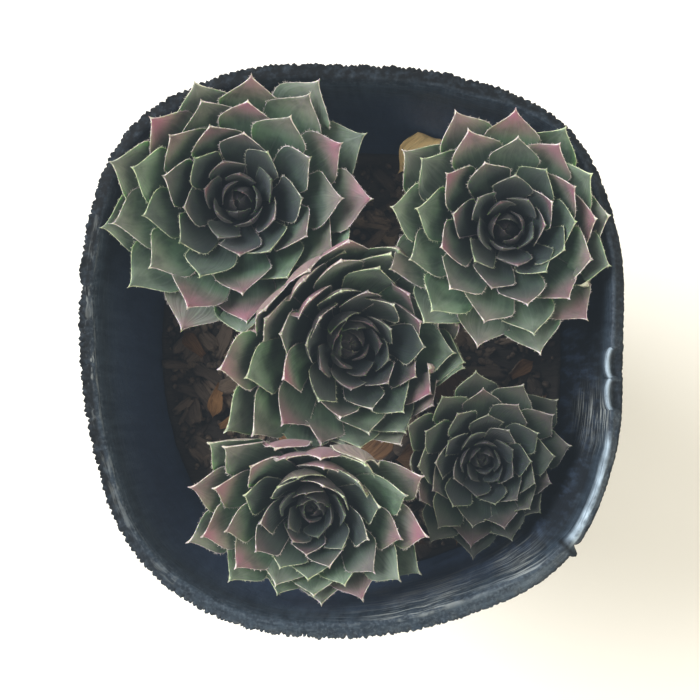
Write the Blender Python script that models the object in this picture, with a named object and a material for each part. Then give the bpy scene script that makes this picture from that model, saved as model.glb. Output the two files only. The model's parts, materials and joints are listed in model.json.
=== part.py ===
"""A potted houseleek: five rosettes in a soft nursery pot that is pressed to a rounded square.

Units are metres and +Z is up. +Y runs along the pot's longer side, and the origin is the middle of
the object's footprint, on the surface that the pot stands on.
"""

import math
import random
from collections import namedtuple

import bmesh
import bpy
from mathutils import Matrix, Vector

# Pot: a soft round nursery pot, 9 cm at the mouth
RIM_HEIGHT = 0.0740
WALL = 0.0008
LIP = 0.0024
LIP_THICKNESS = 0.0009
BASE_RADIUS = 0.0295
FOOT_OUTER_RADIUS = 0.0280
FOOT_INNER_RADIUS = 0.0240
FLOOR_RADIUS = 0.0220
FLOOR_RISE = 0.0015
POT_SEGMENTS = 96
TOOTH_DEPTH = 0.0005
SMOOTH_EDGE_AZIMUTH = math.radians(-10.0)
DRAIN_COUNT = 6
DRAIN_RADIUS = 0.0035
DRAIN_CIRCLE_RADIUS = 0.0140
DRAIN_SIDES = 12

# Reach of the rim from the pot's axis, every 22.5 degrees from +X towards +Y
RIM_REACH = (
    0.0429, 0.0459, 0.0494, 0.0470, 0.0457, 0.0486, 0.0506, 0.0462,
    0.0432, 0.0440, 0.0474, 0.0474, 0.0458, 0.0458, 0.0474, 0.0449,
)

# Potting mix: a settled fill with bark chips, heaped a little round the stems
GAP = 0.0003
SOIL_LEVEL = 0.0450
SOIL_HEAP = 0.0045
SOIL_HEAP_SPREAD = 0.0110
SOIL_SEGMENTS = 48
SOIL_RINGS = (1.0, 0.80, 0.58, 0.32)
CHIP_COUNT = 19
CHIP_LENGTH = 0.0085
CHIP_WIDTH = 0.0042
CHIP_THICKNESS = 0.0018
CHIP_TO_STEM = 0.0080
CHIP_SPREAD = 0.74
CHIP_SEED = 11
STEM_RADIUS = 0.0035
STEM_SIDES = 12
HOLE_CLEARANCE = 0.00035
STEM_FOOT = 0.0380

# Rosettes: every new leaf stands five thirteenths of a turn on from the last one. Lengths are shares of the
# rosette's radius, and an age runs from 0 for the oldest leaf to 1 for the youngest
FIRST_LEAF_SEED = 20
LEAF_LENGTH_OLD = 0.96
LEAF_LENGTH_YOUNG = 0.18
LENGTH_SPACING = 1.8
CROWDED_LENGTH = 0.45
LEAF_ROOT_OLD = 0.17
LEAF_ROOT_YOUNG = 0.10
LEAF_ROOT_RISE = 0.12
LEAF_NARROWING = 0.70
NARROWING_SPACING = 2.2
LEAF_THICKNESS = 0.055
TIP_THINNING = 0.55
YOUNG_THINNING = 0.45
LEAF_BEND_OLD = math.radians(17.0)
LEAF_BEND_YOUNG = math.radians(22.0)
TIP_SPACING = 1.50
CLOSED_SHARE = 1.0
SHOULDER = 0.64
ROOT_WIDTH = 0.42
CUSP = 1.15
LEAST_CUP = 0.12
MOST_CUP = 0.60
OLD_STATIONS = (0.0, 0.35, 0.68, 0.86)
YOUNG_STATIONS = (0.0, 0.42, 0.74)
YOUNG_FROM_AGE = 0.30

# The youngest leaves are one closed bud: rings of its radius and height, with a point at every second corner
BUD_CORNERS = 12
BUD_DENT = 0.80
BUD_PROFILE = ((0.17, -0.06), (0.18, 0.06), (0.26, 0.26), (0.28, 0.38), (0.18, 0.30), (0.15, 0.36), (0.08, 0.30))
BUD_HEIGHT = 0.31

# How near the leaves come to the next rosette, the mix, the wall and the rim
NEIGHBOUR_GAP = 0.00030
NEIGHBOUR_SPREAD = 0.0012
PRESS_DEPTH = 0.0012
PRESS_RISE = 0.5
SQUEEZE = 0.09
SQUEEZE_FROM = 0.60
SQUEEZE_STATIONS = (0.3, 0.5, 0.7, 0.85, 1.0)
SOIL_CLEARANCE = 0.0006
WALL_CLEARANCE = 0.0006
RIM_CLEARANCE = 0.0007
RIM_OVERHANG = 0.0005
CLOSING_STEP = 0.04
CLOSING_STEPS = 24

Plant = namedtuple(
    "Plant",
    "name foot_x foot_y crown radius half_width lean lean_azimuth turn first_azimuth divergence leaves open_leaves",
)

# Angles are in degrees. turn is 1 where the spiral runs from +X to +Y, and -1 where it runs back
PLANTS = (
    Plant("back_left", -0.0183, 0.0248, 0.0640, 0.0239, 0.0053, 5.0, -50.0, 1, 275.4, 138.45, 56, 31),
    Plant("back_right", 0.0250, 0.0192, 0.0680, 0.0207, 0.0047, 8.0, -40.0, 1, 227.7, 138.36, 54, 30),
    Plant("middle", -0.0017, 0.0025, 0.0630, 0.0255, 0.0046, 26.0, -37.0, -1, 40.7, 138.02, 64, 34),
    Plant("front_left", -0.0056, -0.0235, 0.0665, 0.0203, 0.0042, 25.0, -90.0, 1, 137.4, 138.12, 58, 31),
    Plant("front_right", 0.0209, -0.0169, 0.0600, 0.0158, 0.0035, 18.0, -59.0, 1, 263.5, 138.22, 52, 27),
)

# Where two rosettes meet: the share of the way from the first stem to the second, and how far the first one
# reaches over the second, in degrees
MEETING_HEIGHT = 0.0725
MEETINGS = (
    ("back_left", "middle", 0.60, 22.0),
    ("back_left", "back_right", 0.57, 0.0),
    ("back_right", "middle", 0.50, 22.0),
    ("back_right", "front_right", 0.62, 22.0),
    ("middle", "front_left", 0.65, 26.0),
    ("middle", "front_right", 0.66, 22.0),
    ("front_left", "front_right", 0.67, 10.0),
    ("back_left", "front_left", 0.50, 0.0),
)

# Withered leaves: a torn sleeve of old leaf bases round each stem, with the leaves that still hang on it
SLEEVE_WALL = 0.0014
SLEEVE_LOW = 0.0508
SLEEVE_HEIGHT = 0.0026
WITHERED_THICKNESS = 0.0010
WITHERED_CUP = 0.35
WITHERED_STATIONS = (0.0, 0.40, 0.75)
WITHERED_HALF_WIDTH = 0.17
WITHERED_LENGTH = 0.72
WITHERED_COUNT = 5
WITHERED_SLOPE = math.radians(12.0)
WITHERED_DROOP = math.radians(26.0)

# The longest withered leaf shows beside its rosette: its plant, azimuth in degrees, length and half width
LONG_LEAF_PLANT = "back_right"
LONG_LEAF_AZIMUTH = 131.0
LONG_LEAF_LENGTH = 0.0190
LONG_LEAF_HALF_WIDTH = 0.0034


SIDEWAYS = Vector((0.0, 1.0, 0.0))
UPWARDS = Vector((0.0, 0.0, 1.0))


def turn_point(reach, azimuth, height):
    return Vector((reach * math.cos(azimuth), reach * math.sin(azimuth), height))


def smooth(value):
    value = min(max(value, 0.0), 1.0)
    return value * value * (3.0 - 2.0 * value)


def blend(first, second, share):
    return first + (second - first) * share


def rim_reach(azimuth):
    """The rim's outline: a smooth closed curve through the measured reaches."""
    place = azimuth / math.tau * len(RIM_REACH)
    index = math.floor(place)
    share = place - index
    before, first, second, after = (RIM_REACH[(index + step) % len(RIM_REACH)] for step in (-1, 0, 1, 2))
    slope_first = (second - before) / 2.0
    slope_second = (after - first) / 2.0
    rise = second - first
    return (
        first
        + slope_first * share
        + (3.0 * rise - 2.0 * slope_first - slope_second) * share**2
        + (slope_first + slope_second - 2.0 * rise) * share**3
    )


def wall_reach(azimuth, height):
    """The outer face of the wall, which runs straight from the round base to the rim."""
    share = (height - FLOOR_RISE) / (RIM_HEIGHT - FLOOR_RISE)
    return blend(BASE_RADIUS, rim_reach(azimuth) - LIP, share)


def inner_reach(azimuth, height):
    return wall_reach(azimuth, height) - WALL


def outline_middle():
    """The middle of the rim's box, so that the object can be centred on its footprint."""
    points = [
        turn_point(rim_reach(azimuth), azimuth, 0.0)
        for azimuth in (math.tau * step / POT_SEGMENTS for step in range(POT_SEGMENTS))
    ]
    lows = [min(point[axis] for point in points) for axis in range(3)]
    highs = [max(point[axis] for point in points) for axis in range(3)]
    return (Vector(lows) + Vector(highs)) / 2.0


def soil_height(x, y):
    """The settled surface of the potting mix, with a heap round each stem."""
    heap = max(
        math.exp(-((x - plant.foot_x) ** 2 + (y - plant.foot_y) ** 2) / SOIL_HEAP_SPREAD**2)
        for plant in PLANTS
    )
    ripple = 0.0006 * math.sin(310.0 * x + 1.7) * math.cos(270.0 * y + 0.4)
    return SOIL_LEVEL + SOIL_HEAP * heap + ripple


def mesh_from_rings(name, rings, start=None, end=None):
    """A closed skin over rings of points. Each end is drawn to a point, or is a flat face."""
    mesh = bmesh.new()
    rows = [[mesh.verts.new(point) for point in ring] for ring in rings]
    for row, after in zip(rows, rows[1:]):
        for index in range(len(row)):
            following = (index + 1) % len(row)
            mesh.faces.new((row[index], row[following], after[following], after[index]))
    for row, pole, backwards in ((rows[0], start, True), (rows[-1], end, False)):
        if pole is None:
            mesh.faces.new(reversed(row) if backwards else row)
            continue
        point = mesh.verts.new(pole)
        for index in range(len(row)):
            following = (index + 1) % len(row)
            edge = (row[following], row[index]) if backwards else (row[index], row[following])
            mesh.faces.new((*edge, point))
    bmesh.ops.triangulate(mesh, faces=mesh.faces)
    bmesh.ops.recalc_face_normals(mesh, faces=mesh.faces)
    data = bpy.data.meshes.new(name)
    mesh.to_mesh(data)
    mesh.free()
    return data


def cylinder_mesh(name, radius, low, high, sides):
    mesh = bmesh.new()
    bmesh.ops.create_cone(
        mesh,
        cap_ends=True,
        cap_tris=False,
        segments=sides,
        radius1=radius,
        radius2=radius,
        depth=high - low,
        matrix=Matrix.Translation((0.0, 0.0, (low + high) / 2.0)),
    )
    data = bpy.data.meshes.new(name)
    mesh.to_mesh(data)
    mesh.free()
    return data


def add_object(name, data, location=(0.0, 0.0, 0.0)):
    added = bpy.data.objects.new(name, data)
    added.location = location
    bpy.context.scene.collection.objects.link(added)
    return added


def combine(body, others, operation, solver="EXACT"):
    """Join the other shapes to the body, or cut them from it, and remove them."""
    group = bpy.data.collections.new(body.name + "_shapes")
    bpy.context.scene.collection.children.link(group)
    for other in others:
        bpy.context.scene.collection.objects.unlink(other)
        group.objects.link(other)
    bpy.context.view_layer.update()
    modifier = body.modifiers.new(operation.lower(), "BOOLEAN")
    modifier.operation = operation
    modifier.operand_type = "COLLECTION"
    modifier.collection = group
    modifier.solver = solver
    with bpy.context.temp_override(object=body, active_object=body):
        bpy.ops.object.modifier_apply(modifier=modifier.name)
    for other in others:
        bpy.data.objects.remove(other)
    bpy.data.collections.remove(group)


def keep_outer_skin(body):
    """Fill the sealed hollows between fused leaves, and drop loose scraps."""
    mesh = bmesh.new()
    mesh.from_mesh(body.data)
    waiting = set(mesh.verts)
    skins = []
    while waiting:
        skin = {waiting.pop()}
        edge = list(skin)
        while edge:
            near = {link.other_vert(vert) for vert in edge for link in vert.link_edges} - skin
            skin |= near
            edge = list(near)
        waiting -= skin
        skins.append(skin)
    outer = max(skins, key=len)
    bmesh.ops.delete(mesh, geom=[vert for skin in skins if skin is not outer for vert in skin], context="VERTS")
    mesh.to_mesh(body.data)
    mesh.free()


def make_material(name, colour, roughness):
    material = bpy.data.materials.new(name)
    material.use_nodes = True
    surface = material.node_tree.nodes["Principled BSDF"]
    surface.inputs["Base Color"].default_value = (*colour, 1.0)
    surface.inputs["Roughness"].default_value = roughness
    surface.inputs["Metallic"].default_value = 0.0
    return material


def tooth(azimuth, index):
    """The torn edge stands in and out by turns, least on the pot's smooth side."""
    depth = TOOTH_DEPTH * (0.5 - 0.5 * math.cos(azimuth - SMOOTH_EDGE_AZIMUTH))
    return -depth * (index % 2)


def build_pot():
    azimuths = [math.tau * step / POT_SEGMENTS for step in range(POT_SEGMENTS)]

    def ring(reach, height):
        return [turn_point(reach(azimuth), azimuth, height) for azimuth in azimuths]

    def round_ring(radius, height):
        return ring(lambda azimuth: radius, height)

    def edge_ring(height):
        return [
            turn_point(rim_reach(azimuth) + tooth(azimuth, index), azimuth, height)
            for index, azimuth in enumerate(azimuths)
        ]

    floor_top = FLOOR_RISE + WALL
    lip_under = RIM_HEIGHT - LIP_THICKNESS
    rings = (
        round_ring(FLOOR_RADIUS, FLOOR_RISE),
        round_ring(FOOT_INNER_RADIUS, 0.0),
        round_ring(FOOT_OUTER_RADIUS, 0.0),
        round_ring(BASE_RADIUS, FLOOR_RISE),
        ring(lambda azimuth: wall_reach(azimuth, lip_under - WALL), lip_under - WALL),
        edge_ring(lip_under),
        edge_ring(RIM_HEIGHT),
        ring(lambda azimuth: inner_reach(azimuth, RIM_HEIGHT), RIM_HEIGHT),
        ring(lambda azimuth: inner_reach(azimuth, floor_top), floor_top),
    )
    start = Vector((0.0, 0.0, FLOOR_RISE))
    end = Vector((0.0, 0.0, floor_top))
    pot = add_object("pot", mesh_from_rings("pot", rings, start, end))
    drains = [add_object("drain", cylinder_mesh("drain", DRAIN_RADIUS, 0.0, 2.0 * floor_top, DRAIN_SIDES))]
    for step in range(DRAIN_COUNT):
        place = turn_point(DRAIN_CIRCLE_RADIUS, math.tau * step / DRAIN_COUNT, 0.0)
        drains.append(
            add_object("drain", cylinder_mesh("drain", DRAIN_RADIUS, 0.0, 2.0 * floor_top, DRAIN_SIDES), place)
        )
    combine(pot, drains, "DIFFERENCE")
    return pot


def chip_object(random_place):
    """One bark chip: a slab that lies at a slant, half sunk in the surface."""
    mesh = bmesh.new()
    bmesh.ops.create_cube(mesh, size=1.0)
    bmesh.ops.scale(
        mesh,
        verts=mesh.verts,
        vec=(
            CHIP_LENGTH * random_place.uniform(0.6, 1.2),
            CHIP_WIDTH * random_place.uniform(0.7, 1.3),
            CHIP_THICKNESS * random_place.uniform(0.8, 1.3),
        ),
    )
    for vert in mesh.verts:
        vert.co.x *= 1.0 + random_place.uniform(-0.25, 0.1)
        vert.co.y *= 1.0 + random_place.uniform(-0.3, 0.1)
    data = bpy.data.meshes.new("chip")
    mesh.to_mesh(data)
    mesh.free()
    distance = 0.0
    while distance < CHIP_TO_STEM:
        azimuth = random_place.uniform(0.0, math.tau)
        share = math.sqrt(random_place.uniform(0.02, CHIP_SPREAD))
        place = turn_point(inner_reach(azimuth, SOIL_LEVEL) * share, azimuth, 0.0)
        distance = min(math.hypot(place.x - plant.foot_x, place.y - plant.foot_y) for plant in PLANTS)
    place.z = soil_height(place.x, place.y) + random_place.uniform(0.0, 0.0006)
    chip = add_object("chip", data, place)
    chip.rotation_euler = (
        random_place.uniform(-0.40, 0.40),
        random_place.uniform(-0.25, 0.25),
        random_place.uniform(0.0, math.tau),
    )
    return chip


def build_soil():
    azimuths = [math.tau * step / SOIL_SEGMENTS for step in range(SOIL_SEGMENTS)]
    bottom = FLOOR_RISE + WALL + GAP

    def top_point(azimuth, share):
        reach = (inner_reach(azimuth, SOIL_LEVEL) - 2.0 * GAP) * share
        point = turn_point(reach, azimuth, 0.0)
        point.z = soil_height(point.x, point.y)
        return point

    rings = [[turn_point(inner_reach(azimuth, bottom) - 2.0 * GAP, azimuth, bottom) for azimuth in azimuths]]
    for share in SOIL_RINGS:
        rings.append([top_point(azimuth, share) for azimuth in azimuths])
    start = Vector((0.0, 0.0, bottom))
    soil = add_object("potting_mix", mesh_from_rings("potting_mix", rings, start, top_point(0.0, 0.0)))
    random_place = random.Random(CHIP_SEED)
    combine(soil, [chip_object(random_place) for _ in range(CHIP_COUNT)], "UNION")
    holes = []
    for plant in PLANTS:
        hole = cylinder_mesh("hole", STEM_RADIUS + HOLE_CLEARANCE, STEM_FOOT - GAP, RIM_HEIGHT, STEM_SIDES)
        holes.append(add_object("hole", hole, (plant.foot_x, plant.foot_y, 0.0)))
    combine(soil, holes, "DIFFERENCE")
    return soil


def plant_frame(plant):
    """The rosette's own frame: its origin is the crown on top of the stem, and +Z is its axis."""
    lean_azimuth = math.radians(plant.lean_azimuth)
    hinge = Vector((-math.sin(lean_azimuth), math.cos(lean_azimuth), 0.0))
    lean = Matrix.Rotation(math.radians(plant.lean), 4, hinge)
    return Matrix.Translation((plant.foot_x, plant.foot_y, plant.crown)) @ lean


def meeting_planes(plant):
    """A point on each plane that bounds this rosette, and the direction out through it."""
    feet = {other.name: Vector((other.foot_x, other.foot_y, MEETING_HEIGHT)) for other in PLANTS}
    planes = []
    for first, second, share, over in MEETINGS:
        if plant.name not in (first, second):
            continue
        point = feet[first].lerp(feet[second], share)
        outward = (feet[second] - feet[first]).normalized() * math.cos(math.radians(over))
        outward.z = -math.sin(math.radians(over))
        planes.append((point, outward if plant.name == first else -outward))
    return planes


def press_back(point, planes, spare=0.0):
    """A point eased back and up where it comes near the next rosette, so that it stays on its own side."""
    for place, outward in planes:
        depth = (point - place).dot(outward) + NEIGHBOUR_GAP + spare
        if depth > -PRESS_DEPTH:
            back = -PRESS_DEPTH * math.exp(-depth / PRESS_DEPTH - 1.0) - depth
            rise = (UPWARDS - outward * outward.z).normalized()
            point = point + outward * back - rise * back * PRESS_RISE
    return point


def is_clear(points):
    """Whether the points keep off the potting mix, the wall and the rim."""
    for point in points:
        if point.z < soil_height(point.x, point.y) + SOIL_CLEARANCE:
            return False
        reach = math.hypot(point.x, point.y)
        azimuth = math.atan2(point.y, point.x)
        if point.z > RIM_HEIGHT + RIM_CLEARANCE:
            if reach > rim_reach(azimuth) - RIM_OVERHANG:
                return False
        elif reach > inner_reach(azimuth, point.z) - WALL_CLEARANCE:
            return False
    return True


def leaf_half_width(share):
    """A broad leaf that is widest past its middle and runs out in a drawn-out point."""
    if share < SHOULDER:
        return blend(ROOT_WIDTH, 1.0, smooth(share / SHOULDER))
    past = (share - SHOULDER) / (1.0 - SHOULDER)
    return (0.5 + 0.5 * math.cos(math.pi * past)) ** CUSP


def blade_section(frame, middle, inward, half, cup, thickness, planes, spare=0.0):
    """The four points round a blade at one place: its margins, and its face and back between them."""
    keel = press_back(frame @ middle, planes, spare + thickness / 2.0)
    skin = frame.to_3x3() @ inward * thickness / 2.0
    margins = [
        press_back(frame @ (middle + SIDEWAYS * side * half + inward * cup), planes, spare + thickness / 2.0)
        for side in (1.0, -1.0)
    ]
    return [margins[0], keel + skin, margins[1], keel - skin]


Leaf = namedtuple("Leaf", "plant age azimuth reach length_share width_share spare")


def leaf_centre(leaf, share):
    """A point on the leaf's centre line in its own upright plane, and the line's angle there."""
    radius = leaf.plant.radius
    age = leaf.age
    length = radius * blend(LEAF_LENGTH_OLD, LEAF_LENGTH_YOUNG, age**LENGTH_SPACING) * leaf.length_share
    length *= (leaf.reach / radius) ** CROWDED_LENGTH
    root_reach = radius * blend(LEAF_ROOT_OLD, LEAF_ROOT_YOUNG, age)
    root_height = radius * LEAF_ROOT_RISE * age
    tip_reach = leaf.reach * (1.0 - CLOSED_SHARE * age**TIP_SPACING)
    bend = blend(LEAF_BEND_OLD, LEAF_BEND_YOUNG, age)
    chord = length * math.sin(bend) / bend
    start = math.acos(min(max((tip_reach - root_reach) / chord, -0.4), 1.0)) - bend
    angle = start + 2.0 * bend * share
    along = root_reach + length / (2.0 * bend) * (math.sin(angle) - math.sin(start))
    up = root_height - length / (2.0 * bend) * (math.cos(angle) - math.cos(start))
    return Vector((along, 0.0, up)), angle


def leaf_frame(leaf):
    return plant_frame(leaf.plant) @ Matrix.Rotation(leaf.azimuth, 4, "Z")


def leaf_sections(leaf, planes):
    """The cross-sections of one leaf in the object's frame, and its tip."""
    plant = leaf.plant
    age = leaf.age
    frame = leaf_frame(leaf)
    sections = []
    for share in YOUNG_STATIONS if age > YOUNG_FROM_AGE else OLD_STATIONS:
        middle, angle = leaf_centre(leaf, share)
        inward = Vector((-math.sin(angle), 0.0, math.cos(angle)))
        narrowing = 1.0 - LEAF_NARROWING * age**NARROWING_SPACING
        half = plant.half_width * leaf.width_share * narrowing * leaf_half_width(share)
        thickness = plant.radius * LEAF_THICKNESS * (1.0 - TIP_THINNING * share) * (1.0 - YOUNG_THINNING * age)
        around = max(middle.x, half)
        cup = min(half * half * max(math.sin(angle), 0.0) / (2.0 * around) + LEAST_CUP * half, MOST_CUP * half)
        sections.append(blade_section(frame, middle, inward, half, cup, thickness, planes, leaf.spare))
    return sections, press_back(frame @ leaf_centre(leaf, 1.0)[0], planes, leaf.spare)


def guide_points(sections, tip):
    """Points on a leaf's skin that are close enough together to test what it clears."""
    rows = [*sections, [tip] * len(sections[-1])]
    points = []
    for row, after in zip(rows, rows[1:]):
        for start, end in zip(row, after):
            points.extend(start.lerp(end, share) for share in (0.0, 0.34, 0.67))
    return [*points, tip]


def leaf_is_clear(leaf, planes):
    """Whether a leaf has room. Only its outer part may be pressed against a neighbour."""
    frame = leaf_frame(leaf)
    for share in SQUEEZE_STATIONS:
        point = frame @ leaf_centre(leaf, share)[0]
        allowed = SQUEEZE * leaf.plant.radius * max(share - SQUEEZE_FROM, 0.0)
        if any((point - place).dot(outward) > allowed for place, outward in planes):
            return False
    return is_clear(guide_points(*leaf_sections(leaf, planes)))


def open_reach(plant, azimuth, planes):
    """How far the oldest leaf can reach at this azimuth: what stands in its way makes it stand up steeper."""
    for step in range(CLOSING_STEPS):
        reach = plant.radius * (1.0 - CLOSING_STEP * step)
        if leaf_is_clear(Leaf(plant, 0.0, azimuth, reach, 1.0, 1.0, 0.0), planes):
            break
    return reach


def leaf_object(plant, index, planes, drawn):
    age = index / (plant.leaves - 1)
    azimuth = math.radians(plant.first_azimuth + plant.turn * plant.divergence * index)
    length_share = drawn.uniform(0.96, 1.04)
    width_share = drawn.uniform(0.94, 1.05)
    spare = NEIGHBOUR_SPREAD * (0.618 * index % 1.0)
    reach = open_reach(plant, azimuth, planes)
    for _ in range(CLOSING_STEPS):
        leaf = Leaf(plant, age, azimuth, reach, length_share, width_share, spare)
        if leaf_is_clear(leaf, planes):
            sections, tip = leaf_sections(leaf, planes)
            return add_object("leaf", mesh_from_rings("leaf", sections, None, tip))
        reach *= 1.0 - CLOSING_STEP
    return None


def bud_rings(plant):
    """The closed bud of the youngest leaves, on the slim core that the open leaves stand on."""
    frame = plant_frame(plant)
    rings = []
    for index, (radius, height) in enumerate(BUD_PROFILE):
        ring = []
        for step in range(BUD_CORNERS):
            dent = BUD_DENT if (step + index // 2) % 2 else 1.0
            azimuth = math.tau * step / BUD_CORNERS
            ring.append(frame @ turn_point(radius * dent * plant.radius, azimuth, height * plant.radius))
        rings.append(ring)
    return rings, frame @ Vector((0.0, 0.0, BUD_HEIGHT * plant.radius))


def build_rosette(plant, seed):
    rings, bud = bud_rings(plant)
    planes = meeting_planes(plant)
    drawn = random.Random(seed)
    body = add_object("rosette_" + plant.name, mesh_from_rings("rosette_" + plant.name, rings, None, bud))
    stem = cylinder_mesh("stem", STEM_RADIUS, STEM_FOOT, plant.crown + 0.0005, STEM_SIDES)
    shapes = [add_object("stem", stem, (plant.foot_x, plant.foot_y, 0.0))]
    leaves = [leaf_object(plant, index, planes, drawn) for index in range(plant.open_leaves)]
    shapes += [leaf for leaf in leaves if leaf]
    combine(body, shapes, "UNION", "MANIFOLD")
    keep_outer_skin(body)
    return body


def withered_object(plant, planes, azimuth, length, half_width, drawn):
    """One withered leaf, which droops from the sleeve to the mix, or None where there is no room for it."""
    frame = Matrix.Translation((plant.foot_x, plant.foot_y, SLEEVE_LOW + SLEEVE_HEIGHT / 2.0))
    frame = frame @ Matrix.Rotation(azimuth, 4, "Z")
    slope = WITHERED_SLOPE + drawn.uniform(-0.06, 0.10)
    twist = drawn.uniform(-0.25, 0.25)
    droop = WITHERED_DROOP
    for _ in range(CLOSING_STEPS):
        place = Vector((STEM_RADIUS + HOLE_CLEARANCE + SLEEVE_WALL / 2.0, 0.0, 0.0))
        sections = []
        before = 0.0
        for share in (*WITHERED_STATIONS, 1.0):
            angle = slope - droop * share
            place = place + Vector((math.cos(angle), 0.0, math.sin(angle))) * length * (share - before)
            before = share
            if share == 1.0:
                break
            inward = Vector((-math.sin(angle), twist * share, math.cos(angle))).normalized()
            half = half_width * leaf_half_width(share)
            sections.append(
                blade_section(frame, place, inward, half, WITHERED_CUP * half, WITHERED_THICKNESS, planes)
            )
        tip = frame @ place
        beyond = any((tip - point).dot(outward) > -NEIGHBOUR_GAP for point, outward in planes)
        if not beyond and is_clear(guide_points(sections[1:], tip)):
            return add_object("withered", mesh_from_rings("withered", sections, None, tip))
        length *= 1.0 - CLOSING_STEP
        droop *= 1.0 - CLOSING_STEP
    return None


def build_withered_leaves(plant, seed):
    name = "withered_" + plant.name
    low = SLEEVE_LOW
    high = SLEEVE_LOW + SLEEVE_HEIGHT
    inner = STEM_RADIUS + HOLE_CLEARANCE
    outer = inner + SLEEVE_WALL
    place = (plant.foot_x, plant.foot_y, 0.0)
    sleeve = add_object(name, cylinder_mesh(name, outer, low, high, STEM_SIDES), place)
    planes = meeting_planes(plant)
    drawn = random.Random(seed)
    leaves = []
    first_azimuth = drawn.uniform(0.0, math.tau)
    if plant.name == LONG_LEAF_PLANT:
        first_azimuth = math.radians(LONG_LEAF_AZIMUTH)
    for index in range(WITHERED_COUNT):
        azimuth = first_azimuth + math.tau * index / WITHERED_COUNT
        length = WITHERED_LENGTH * plant.radius * drawn.uniform(0.75, 1.1)
        half_width = WITHERED_HALF_WIDTH * plant.radius * drawn.uniform(0.8, 1.1)
        if plant.name == LONG_LEAF_PLANT and index == 0:
            length = LONG_LEAF_LENGTH
            half_width = LONG_LEAF_HALF_WIDTH
        leaves.append(withered_object(plant, planes, azimuth, length, half_width, drawn))
    combine(sleeve, [leaf for leaf in leaves if leaf], "UNION")
    bore = add_object("bore", cylinder_mesh("bore", inner, low - GAP, high + GAP, STEM_SIDES), place)
    combine(sleeve, [bore], "DIFFERENCE")
    keep_outer_skin(sleeve)
    return sleeve


def build():
    for old in list(bpy.data.objects):
        bpy.data.objects.remove(old)
    middle = outline_middle()
    plastic = make_material("black_nursery_plastic", (0.012, 0.015, 0.020), 0.45)
    bark = make_material("potting_bark", (0.060, 0.035, 0.020), 0.90)
    leaf_green = make_material("houseleek_leaf", (0.085, 0.130, 0.080), 0.50)
    straw = make_material("withered_leaf", (0.380, 0.230, 0.090), 0.80)
    model = bpy.data.collections.new("potted_houseleek")
    bpy.context.scene.collection.children.link(model)
    pieces = [(build_pot(), plastic), (build_soil(), bark)]
    for seed, plant in enumerate(PLANTS, FIRST_LEAF_SEED):
        pieces.append((build_rosette(plant, seed), leaf_green))
        pieces.append((build_withered_leaves(plant, seed), straw))
    for piece, material in pieces:
        piece.data.materials.clear()
        piece.data.materials.append(material)
        piece.data.transform(Matrix.Translation(-middle))
        bpy.context.scene.collection.objects.unlink(piece)
        model.objects.link(piece)


build()
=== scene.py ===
"""A potted houseleek, dressed: five rosettes with hairy leaf margins, withered leaves and bark mix in a
soft black nursery pot whose edge is torn.

Units are metres and +Z is up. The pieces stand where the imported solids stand.
"""

import json
import math
import random
from collections import namedtuple

import bpy
import numpy as np
from mathutils import Euler, Matrix, Vector, noise
from mathutils.bvhtree import BVHTree

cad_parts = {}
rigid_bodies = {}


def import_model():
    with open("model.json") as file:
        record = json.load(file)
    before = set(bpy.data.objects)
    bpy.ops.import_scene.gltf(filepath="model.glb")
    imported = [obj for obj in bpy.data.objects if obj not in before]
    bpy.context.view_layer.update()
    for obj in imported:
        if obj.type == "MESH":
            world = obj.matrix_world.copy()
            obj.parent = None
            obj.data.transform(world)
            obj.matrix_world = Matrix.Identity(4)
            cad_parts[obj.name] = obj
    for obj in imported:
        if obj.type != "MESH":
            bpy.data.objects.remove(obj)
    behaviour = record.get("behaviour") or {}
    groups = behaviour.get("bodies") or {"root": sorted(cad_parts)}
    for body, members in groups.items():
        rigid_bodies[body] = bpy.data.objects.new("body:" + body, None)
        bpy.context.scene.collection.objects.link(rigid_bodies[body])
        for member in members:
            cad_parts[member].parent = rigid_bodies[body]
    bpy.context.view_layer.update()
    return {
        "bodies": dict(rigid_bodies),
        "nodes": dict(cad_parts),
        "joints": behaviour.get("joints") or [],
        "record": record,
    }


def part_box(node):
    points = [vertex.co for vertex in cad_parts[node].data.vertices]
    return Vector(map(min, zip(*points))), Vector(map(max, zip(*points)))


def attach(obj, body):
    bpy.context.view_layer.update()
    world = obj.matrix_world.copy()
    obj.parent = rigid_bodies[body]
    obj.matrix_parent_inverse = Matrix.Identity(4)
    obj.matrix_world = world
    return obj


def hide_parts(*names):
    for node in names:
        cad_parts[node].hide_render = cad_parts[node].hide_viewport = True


# Pot
WALL = 0.0008
FILM = 0.00035
LIP = 0.0024
BASE_RADIUS = 0.0295
FOOT_OUTER_RADIUS = 0.0280
FOOT_INNER_RADIUS = 0.0240
FLOOR_RADIUS = 0.0220
FLOOR_RISE = 0.0015
DRAIN_COUNT = 6
DRAIN_RADIUS = 0.0035
DRAIN_CIRCLE_RADIUS = 0.0140
POT_STEPS = 1500
TOOTH_PITCH = 0.0009
TOOTH_DEPTH = 0.00075
CHUNK_DEPTH = 0.0003
TOOTH_REACH = 0.0004
FRAY_PITCH = 0.00055
FRAY_DEPTH = 0.0009
FRAYED = (-112.0, 42.0)
SMOOTH_EDGE = -14.0
SMOOTH_EDGE_SPREAD = 48.0

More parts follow.
